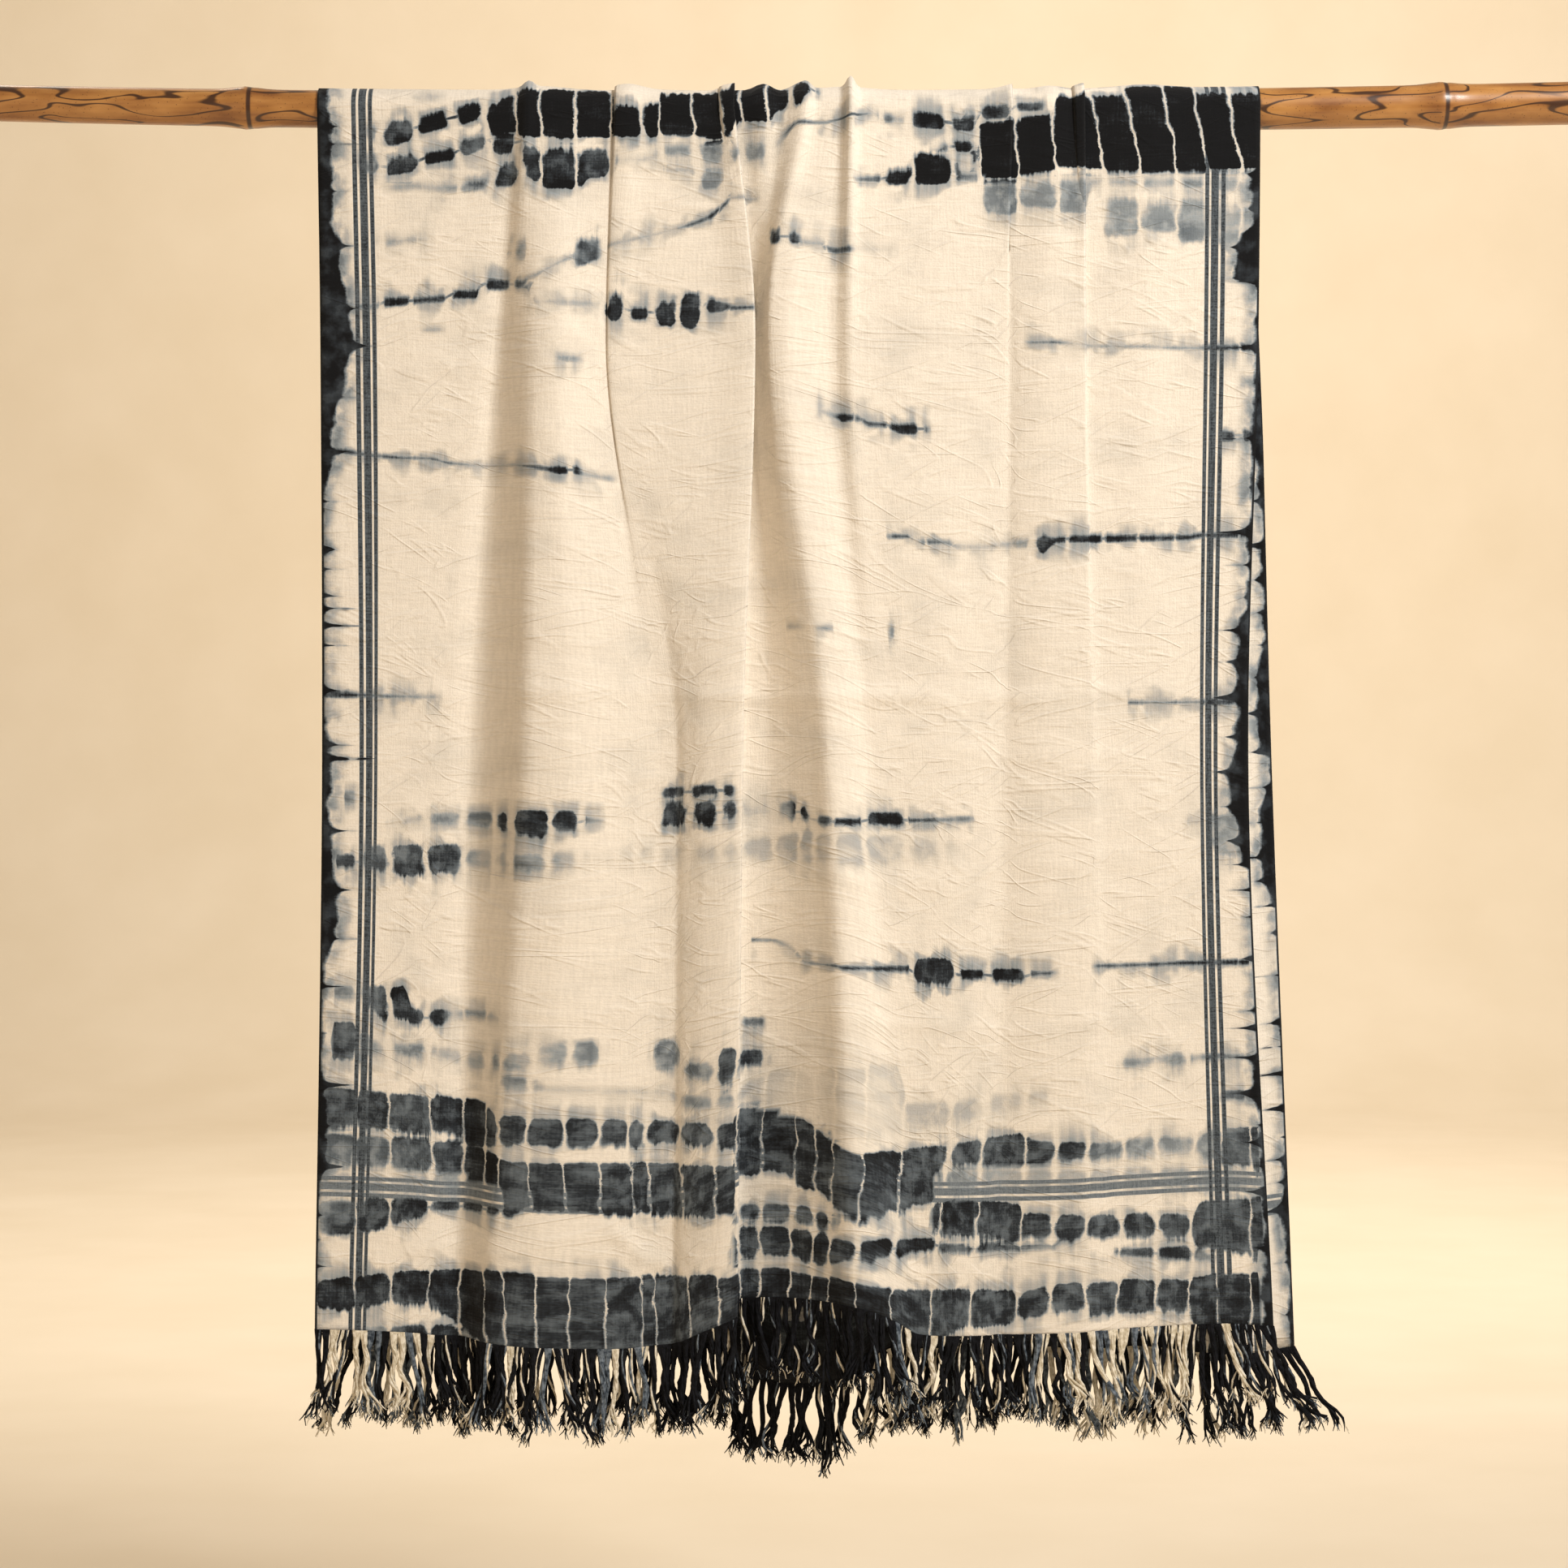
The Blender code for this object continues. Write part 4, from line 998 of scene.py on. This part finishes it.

    # Mottling inside the marks, with a fine speckle along the threads that is painted highlight on their
    # lit ridges
    palest = add("MapRange", [cloth.row_dark, 0.45, 1.0, 0.62, 0.98])
    mottle = add("MapRange", [cloth.cloud, 0.34, 0.58, palest, 1.04])
    mottle = add("Math", [cloth.threads, 0.07, mottle], "MULTIPLY_ADD")
    soaked = add("MapRange", [uneven, 0.3, 0.7, 0.94, 1.04])
    mottle = add("Math", [mottle, soaked], "MULTIPLY")
    return add("Math", [dye, mottle], "MULTIPLY")


def edges_dye_of(add, cloth):
    """How strongly the edges beside the selvedges are dyed. Each tie draws the dye out along the weft."""
    from_tie = add("Math", [cloth.tie_place], "FRACT")
    from_tie = add("Math", [from_tie, 0.5], "PINGPONG")
    from_tie = add("Math", [from_tie, cloth.tie_spacing], "MULTIPLY")
    from_tie = add("Math", [cloth.creep_y, 0.12, from_tie], "MULTIPLY_ADD")
    from_tie = add("Math", [from_tie], "ABSOLUTE")
    cusp = add("Math", [from_tie, 1 / 2.2, 1.0], "MULTIPLY_ADD")
    cusp = add("Math", [cusp, -2.0], "POWER")
    drawn_out = add("MapRange", [cloth.spread, 0.36, 0.62, 0.3, 1.25])
    drawn_out = add("Math", [drawn_out, cloth.tie_reach], "MULTIPLY")
    in_edge = add("Math", [cusp, drawn_out, cloth.edge_width], "MULTIPLY_ADD")
    in_edge = add("Math", [in_edge, cloth.from_selvedge], "SUBTRACT")
    in_edge = add("Math", [cloth.creep_x, 0.85, in_edge], "MULTIPLY_ADD")
    in_edge = add("Math", [cloth.threads, 0.5, in_edge], "MULTIPLY_ADD")
    dye = add("MapRange", [in_edge, -2.6, 3.2, 0.0, 0.97], interpolation_type="SMOOTHSTEP")
    halo = add("MapRange", [in_edge, -16.0, 0.0, 0.0, 0.55], interpolation_type="SMOOTHSTEP")
    patchy = add("MapRange", [cloth.creep_z, -1.6, 2.0, 0.2, 1.1])
    halo = add("Math", [halo, patchy], "MULTIPLY")
    dye = add("Math", [dye, halo], "MAXIMUM")
    blotched = add("MapRange", [cloth.creep_y, -2.2, 1.6, 0.84, 1.02])
    dye = add("Math", [dye, blotched], "MULTIPLY")
    selvedge = add("MapRange", [cloth.from_selvedge, 1.4, 2.6, 0.9, 0.0])
    return add("Math", [dye, selvedge], "MAXIMUM")


def stripes_of(add, cloth):
    """Three dark stripes woven along each selvedge and again across each end."""
    along_edge = add("Math", [cloth.from_selvedge, STRIPE_SPAN_MM], "DIVIDE")
    along_edge = add("ValToRGB", [along_edge], stops=stripe_stops())
    end_stripes = (TURN_OVER_POLE / 2 + LEVELS[-1]) / MM - END_STRIPES_MM + STRIPES_MM[0][0]
    from_end = add("Math", [end_stripes, cloth.from_top], "SUBTRACT")
    from_end = add("Math", [from_end, STRIPE_SPAN_MM], "DIVIDE")
    across_end = add("ValToRGB", [from_end], stops=stripe_stops())
    across_end = add("Math", [across_end, 0.8], "MULTIPLY")
    stripes = add("Math", [along_edge, across_end], "MAXIMUM")
    worn = add("MapRange", [cloth.threads, -1.0, 1.0, 0.66, 0.86])
    return add("Math", [stripes, worn], "MULTIPLY")


def crinkled_relief(add, cloth):
    """Thin ridges of slept-in creases that mostly follow the weft, over a finer unevenness."""
    relief = cloth.crush
    for slant, shares in CRINKLES:
        turned = {"Vector": cloth.place, "Angle": math.radians(slant)}
        turned = add("VectorRotate", turned, rotation_type="Z_AXIS")
        turned = add("VectorMath", [turned, (1 / 170, 1 / 30, 0)], "MULTIPLY")
        crinkle = {"Vector": turned, "Scale": 1.0, "Detail": 2.0, "Distortion": 0.5}
        crinkle = add("TexNoise", crinkle, noise_dimensions="2D")
        crinkle = add("Math", [crinkle, -0.5], "ADD")
        crinkle = add("Math", [crinkle], "ABSOLUTE")
        crinkle = add("MapRange", [crinkle, 0.0, 0.04, 1.0, 0.0], interpolation_type="SMOOTHSTEP")
        height = add("MapRange", [cloth.spread, 0.4, 0.6, *shares])
        relief = add("Math", [crinkle, height, relief], "MULTIPLY_ADD")
    relief = add("Math", [cloth.threads, 0.09, relief], "MULTIPLY_ADD")
    return add("Bump", {"Height": relief, "Strength": 1.0, "Distance": 0.001})


def dyed_cotton():
    """Handwoven cotton, dyed by tying: feathered near-black marks in rows, split by thin resist lines.

    Each row's place, height and darkness come from the cloth's points. The feathering and the
    mottling are worked out here, in millimetres of cloth. The dye bleeds along the threads both
    ways, so its edges look brushed, and thin dye is a cool grey.
    """
    shading = {
        "Roughness": 0.95,
        "IOR": 1.5,
        "Specular IOR Level": 0.12,
        "Sheen Weight": 0.06,
        "Sheen Roughness": 0.6,
    }
    finish, tree, shader = new_material("dyed_handwoven_cotton", shading)
    add = partial(add_node, tree)
    cloth = read_cloth(add)
    dye = add("Math", [rows_dye_of(add, cloth), edges_dye_of(add, cloth)], "MAXIMUM")

    # A faint cloud of loose dye lies over the rest
    haze = add("MapRange", [cloth.haze, 0.5, 0.8, 0.0, 0.08])
    dye = add("Math", [dye, haze], "ADD")
    dye = add("Math", [dye, stripes_of(add, cloth)], "MAXIMUM")
    colour = add("ValToRGB", [dye], stops=DYE_SHADES)
    slub = add("MapRange", [cloth.threads, -1.0, 1.0, 0.92, 1.06])
    colour = add("VectorMath", [colour, slub], "MULTIPLY")
    tree.links.new(colour.outputs[0], shader.inputs["Base Color"])
    tree.links.new(crinkled_relief(add, cloth).outputs[0], shader.inputs["Normal"])
    return finish


def stripe_stops():
    """Stops of a ramp that is 1 on each woven stripe and 0 between them."""
    stops = [(0.0, 0.0)]
    for start, end in STRIPES_MM:
        stops += [(start - STRIPE_BLUR_MM, 0.0), (start, 1.0), (end, 1.0), (end + STRIPE_BLUR_MM, 0.0)]
    return [(place / STRIPE_SPAN_MM, shade) for place, shade in stops]


def yarn_finish(name, light, deep):
    """Two-ply cotton yarn: dull, with its shade changing along it."""
    finish, tree, shader = new_material(name, {"Roughness": 0.9, "Specular IOR Level": 0.15})
    add = partial(add_node, tree)
    where = add("TexCoord").outputs["Object"]
    patchy = add("TexNoise", {"Vector": where, "Scale": 260.0, "Detail": 3.0})
    colour = add("ValToRGB", [patchy], stops=[(0.38, deep), (0.62, light)])
    tree.links.new(colour.outputs[0], shader.inputs["Base Color"])
    twist = add("TexNoise", {"Vector": where, "Scale": 900.0, "Detail": 1.0})
    bump = add("Bump", {"Height": twist, "Strength": 0.5, "Distance": 0.0004})
    tree.links.new(bump.outputs[0], shader.inputs["Normal"])
    return finish


def varnished_bamboo():
    """A natural culm scorched by hand and varnished: tan skin, burnt loops, a dark line at each node."""
    shading = {"Roughness": 0.38, "IOR": 1.5, "Coat Weight": 0.5, "Coat Roughness": 0.18}
    finish, tree, shader = new_material("varnished_scorched_bamboo", shading)
    add = partial(add_node, tree)
    where = add("TexCoord").outputs["Object"]
    noises = {}
    for name, (along, across, detail, distortion) in BAMBOO_NOISES.items():
        at = add("VectorMath", [where, (along, across, across)], "MULTIPLY")
        inputs = {"Vector": at, "Scale": 1.0, "Detail": detail, "Distortion": distortion}
        noises[name] = add("TexNoise", inputs)
    tone = add("Math", [noises["fibre"], 0.35, noises["tone"]], "MULTIPLY_ADD")
    skin = add("ValToRGB", [tone], stops=[(0.42, "#7A4720"), (0.66, "#A97238"), (0.95, "#C9914F")])

    # The burnt loops, whose edges are smoked
    loops = add("Math", [noises["loops"], 0.54], "SUBTRACT")
    loops = add("Math", [loops], "ABSOLUTE")
    smoke = add("MapRange", [tone, 0.5, 0.95, 0.04, 0.014])
    loops = add("Math", [loops, smoke], "DIVIDE")
    burnt = add("MapRange", [loops, 0.5, 1.6, 0.92, 0.0], interpolation_type="SMOOTHSTEP")

    # The dark ring beside each node, and the node's own pale ridge
    along = add("SeparateXYZ", [where]).outputs["X"]
    from_node = add("Math", [along, -NODE_AT], "ADD")
    from_node = add("Math", [from_node, NODE_PITCH / 2, -NODE_PITCH / 2], "WRAP")
    ring = add("Math", [from_node, -0.0035], "ADD")
    ring = add("Math", [ring], "ABSOLUTE")
    ring = add("MapRange", [ring, 0.0012, 0.0026, 0.95, 0.0])
    ridge = add("Math", [from_node], "ABSOLUTE")
    ridge = add("MapRange", [ridge, 0.0006, 0.0022, 0.0, 1.0])
    burnt = add("Math", [burnt, ridge], "MULTIPLY")
    burnt = add("Math", [burnt, ring], "MAXIMUM")

    speckle = add("VectorMath", [where, (330.0, 330.0, 330.0)], "MULTIPLY")
    speckle = add("TexVoronoi", {"Vector": speckle, "Scale": 1.0}).outputs["Distance"]
    speckle = add("MapRange", [speckle, 0.1, 0.2, 0.6, 0.0])
    burnt = add("Math", [burnt, speckle], "MAXIMUM")
    colour = add("Mix", {"Factor": burnt, "A": skin, "B": linear("#321507")}, data_type="RGBA")
    tree.links.new(colour.outputs["Result"], shader.inputs["Base Color"])
    bump = add("Bump", {"Height": noises["fibre"], "Strength": 0.25, "Distance": 0.0006})
    tree.links.new(bump.outputs[0], shader.inputs["Normal"])
    return finish


def add_culm(finish):
    """The bamboo culm with its swollen nodes."""
    curve = bpy.data.curves.new("bamboo_culm", "CURVE")
    curve.dimensions = "3D"
    curve.bevel_depth = POLE_RADIUS
    curve.bevel_resolution = CULM_ROUNDING
    curve.use_fill_caps = True
    places = np.linspace(-POLE_LENGTH / 2, POLE_LENGTH / 2, CULM_RINGS)
    spline = curve.splines.new("POLY")
    spline.points.add(len(places) - 1)
    spline.use_smooth = True
    for point, x in zip(spline.points, places):
        swell = node_swell(x, NODE_SWELL, NODE_HALF_WIDTH) + node_swell(x, NODE_RING, NODE_RING_HALF_WIDTH)
        scar = node_swell(x - SCAR_AT, SCAR_DEPTH, SCAR_HALF_WIDTH)
        point.co = (x, 0.0, pole_height(x), 1.0)
        point.radius = (pole_radius(x) + swell + scar) / POLE_RADIUS
    curve.materials.append(finish)
    culm = bpy.data.objects.new("bamboo_culm", curve)
    bpy.context.scene.collection.objects.link(culm)
    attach(culm, "root")
    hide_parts("pole")
    return culm


def along_line(points, shares):
    """Points at the given shares of a line's length."""
    lengths = np.linalg.norm(np.diff(points, axis=0), axis=1)
    reached = np.concatenate([[0.0], np.cumsum(lengths)]) / lengths.sum()
    return np.stack([np.interp(shares, reached, points[:, axis]) for axis in range(3)], axis=1)


def corner_lean(x, lowest, highest):
    left = math.exp(-(((x - lowest) / CORNER_REACH) ** 2))
    right = math.exp(-(((highest - x) / CORNER_REACH) ** 2))
    return CORNER_LEAN["left"] * left + CORNER_LEAN["right"] * right


def add_thread(curve, points, radius, shade):
    spline = curve.splines.new("POLY")
    spline.points.add(len(points) - 1)
    spline.material_index = shade
    spline.use_smooth = True
    for place, (point, co) in enumerate(zip(spline.points, points)):
        point.co = (*co, 1.0)
        point.radius = radius * (1.0 if place < len(points) - 1 else 0.6)


def bunch_line(chance, root, length, lean, shares):
    """The middle line of a few yarns that hang twisted together: it leans and waves on its way down."""
    wave = [chance.uniform(*BUNCH_WAVE_X), chance.uniform(*BUNCH_WAVE_Y)]
    turns = [chance.uniform(*BUNCH_WAVES) for _ in range(2)]
    phase = [chance.uniform(0, 2 * math.pi) for _ in range(2)]
    x = root[0] + lean * shares * length
    y = root[1] + chance.uniform(-BUNCH_DRIFT_Y, BUNCH_DRIFT_Y) * shares * length
    x += wave[0] * (np.sin(phase[0] + 2 * math.pi * turns[0] * shares) - math.sin(phase[0])) * shares
    y += wave[1] * (np.sin(phase[1] + 2 * math.pi * turns[1] * shares) - math.sin(phase[1])) * shares
    return np.stack([x, y, root[2] + ROOT_LAP - shares * length], axis=1)


def add_fringe(name, hem, seed, finishes, node):
    """The warp ends below a hem: two-ply yarns twisted into loose bunches that fray at their tips."""
    chance = random.Random(seed)
    curve = bpy.data.curves.new(name, "CURVE")
    curve.dimensions = "3D"
    curve.bevel_depth = YARN_RADIUS
    curve.bevel_resolution = 0
    for finish in finishes:
        curve.materials.append(finish)
    bunches = TASSELS * BUNCHES_IN_TASSEL
    centres = along_line(hem, (np.arange(bunches) + 0.5) / bunches)
    roots = along_line(hem, (np.arange(bunches * YARNS_IN_BUNCH) + 0.5) / (bunches * YARNS_IN_BUNCH))
    shade_places, shade_values = zip(*YARN_SHADES)
    shares = np.linspace(0, 1, YARN_STEPS)
    for bunch, centre in enumerate(centres):
        if bunch % BUNCHES_IN_TASSEL == 0:
            tassel_lean = chance.uniform(-TASSEL_LEAN, TASSEL_LEAN)
            tassel_length = FRINGE_LENGTH + chance.uniform(-1, 1) * FRINGE_SPREAD
        lean = tassel_lean + chance.uniform(-BUNCH_LEAN, BUNCH_LEAN)
        lean += corner_lean(centre[0], hem[0, 0], hem[-1, 0])
        length = tassel_length * chance.uniform(*BUNCH_LENGTHS)
        line = bunch_line(chance, centre, length, lean, shares)
        darkness = np.interp(centre[0] / MM, shade_places, shade_values)
        bunch_shade = BLACK if chance.random() < darkness else chance.choice((SLATE, UNDYED, UNDYED))
        twist = chance.uniform(*BUNCH_TWISTS) * 2 * math.pi
        for yarn in range(YARNS_IN_BUNCH):
            root = roots[bunch * YARNS_IN_BUNCH + yarn]
            radius = chance.uniform(*YARN_FROM_MIDDLE)
            place = yarn + chance.uniform(-YARN_ANGLE_SPREAD, YARN_ANGLE_SPREAD)
            angle = twist * shares + 2 * math.pi * place / YARNS_IN_BUNCH
            spread = np.exp(-((shares / ROOTS_JOIN_BY) ** 2))[:, None]
            turn = np.stack([np.cos(angle), np.sin(angle), np.zeros(YARN_STEPS)], axis=1)
            points = line + (1 - spread) * radius * turn + spread * (root - centre)
            fray = np.clip((shares - FRAY_FROM) / (1 - FRAY_FROM), 0, 1)[:, None]
            points = points + fray * [chance.uniform(-1, 1) * FRAY_X, chance.uniform(-1, 1) * FRAY_Y, 0]
            points[-1, 2] += chance.uniform(0.0, TIP_RISE)
            kept_shade = chance.random() < YARNS_OF_BUNCH_SHADE
            shade = bunch_shade if kept_shade else chance.choice((BLACK, SLATE, UNDYED))
            points = [Vector(point) for point in points]
            add_thread(curve, points, 1.0, shade)
            for _ in range(HAIRS_ON_YARN):
                aside = chance.uniform(-HAIR_X, HAIR_X), chance.uniform(-HAIR_Y, HAIR_Y)
                hair = Vector((*aside, -chance.uniform(*HAIR_LENGTHS)))
                same_shade = chance.random() < HAIRS_OF_YARN_SHADE
                hair_shade = shade if same_shade else chance.choice((SLATE, UNDYED))
                hair_points = [points[-2], points[-1] + hair * 0.3, points[-1] + hair]
                add_thread(curve, hair_points, HAIR_SHARE, hair_shade)
    fringe = bpy.data.objects.new(name, curve)
    bpy.context.scene.collection.objects.link(fringe)
    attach(fringe, "root")
    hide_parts(node)
    return fringe


def grid_faces(down, across):
    """Faces of a grid of points that has so many rows of so many points."""
    corner = np.arange(down * across).reshape(down, across)[:-1, :-1]
    return np.stack([corner, corner + 1, corner + across + 1, corner + across], axis=-1).reshape(-1, 4)


def add_stage():
    """A pale floor that sweeps up into a pale backdrop, far enough back to leave room all round."""
    finish, tree, shader = new_material("pale_matte_paint", {"Roughness": 0.9})
    add = partial(add_node, tree)
    where = add("TexCoord").outputs["Object"]
    patchy = add("TexNoise", {"Vector": where, "Scale": 3.0, "Detail": 4.0})
    colour = add("ValToRGB", [patchy], stops=[(0.3, "#E9DCC6"), (0.7, "#EEE2CE")])
    tree.links.new(colour.outputs[0], shader.inputs["Base Color"])
    profile = [(-STAGE_REACH, FLOOR_AT)]
    for step in range(STAGE_STEPS + 1):
        turn = math.pi / 2 * step / STAGE_STEPS
        y = BACKDROP_AT - STAGE_ROUNDING * (1 - math.sin(turn))
        profile.append((y, FLOOR_AT + STAGE_ROUNDING * (1 - math.cos(turn))))
    profile.append((BACKDROP_AT, BACKDROP_TOP))
    points = [(x, y, z) for y, z in profile for x in (-STAGE_REACH, STAGE_REACH)]
    mesh = bpy.data.meshes.new("backdrop")
    mesh.from_pydata(points, [], grid_faces(len(profile), 2).tolist())
    mesh.polygons.foreach_set("use_smooth", [True] * len(mesh.polygons))
    mesh.materials.append(finish)
    backdrop = bpy.data.objects.new("backdrop", mesh)
    bpy.context.scene.collection.objects.link(backdrop)


def add_light(name, place, aim, size, power, colour):
    light = bpy.data.lights.new(name, "AREA")
    light.size = size
    light.energy = power
    light.color = linear(colour)[:3]
    lamp = bpy.data.objects.new(name, light)
    lamp.location = place
    lamp.rotation_euler = (Vector(aim) - Vector(place)).to_track_quat("-Z", "Y").to_euler()
    bpy.context.scene.collection.objects.link(lamp)


def add_lights():
    """A key from the upper right, weak fills from the left and behind, a wash on the backdrop."""
    for name, (place, aim, size, power, colour) in LIGHTS.items():
        add_light(name, place, aim, size, power, colour)
    world = bpy.data.worlds.new("surround")
    world.use_nodes = True
    surround = world.node_tree.nodes["Background"]
    surround.inputs["Color"].default_value = linear(SURROUND_COLOUR)
    surround.inputs["Strength"].default_value = SURROUND_STRENGTH
    bpy.context.scene.world = world
    bpy.context.scene.view_settings.view_transform = "Standard"


def main():
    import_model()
    add_camera()
    add_stage()
    add_lights()
    cloth, rows = add_cloth(dyed_cotton())
    culm = add_culm(varnished_bamboo())
    yarns = [
        yarn_finish("black_cotton_yarn", "#1B1C21", "#0D0E11"),
        yarn_finish("slate_cotton_yarn", "#7B8590", "#3A434E"),
        yarn_finish("undyed_cotton_yarn", "#F3EBDB", "#CDC2AA"),
    ]
    front = add_fringe("front_yarns", rows[0], 5, yarns, "front_fringe")
    back = add_fringe("back_yarns", rows[-1], 9, yarns, "back_fringe")


main()
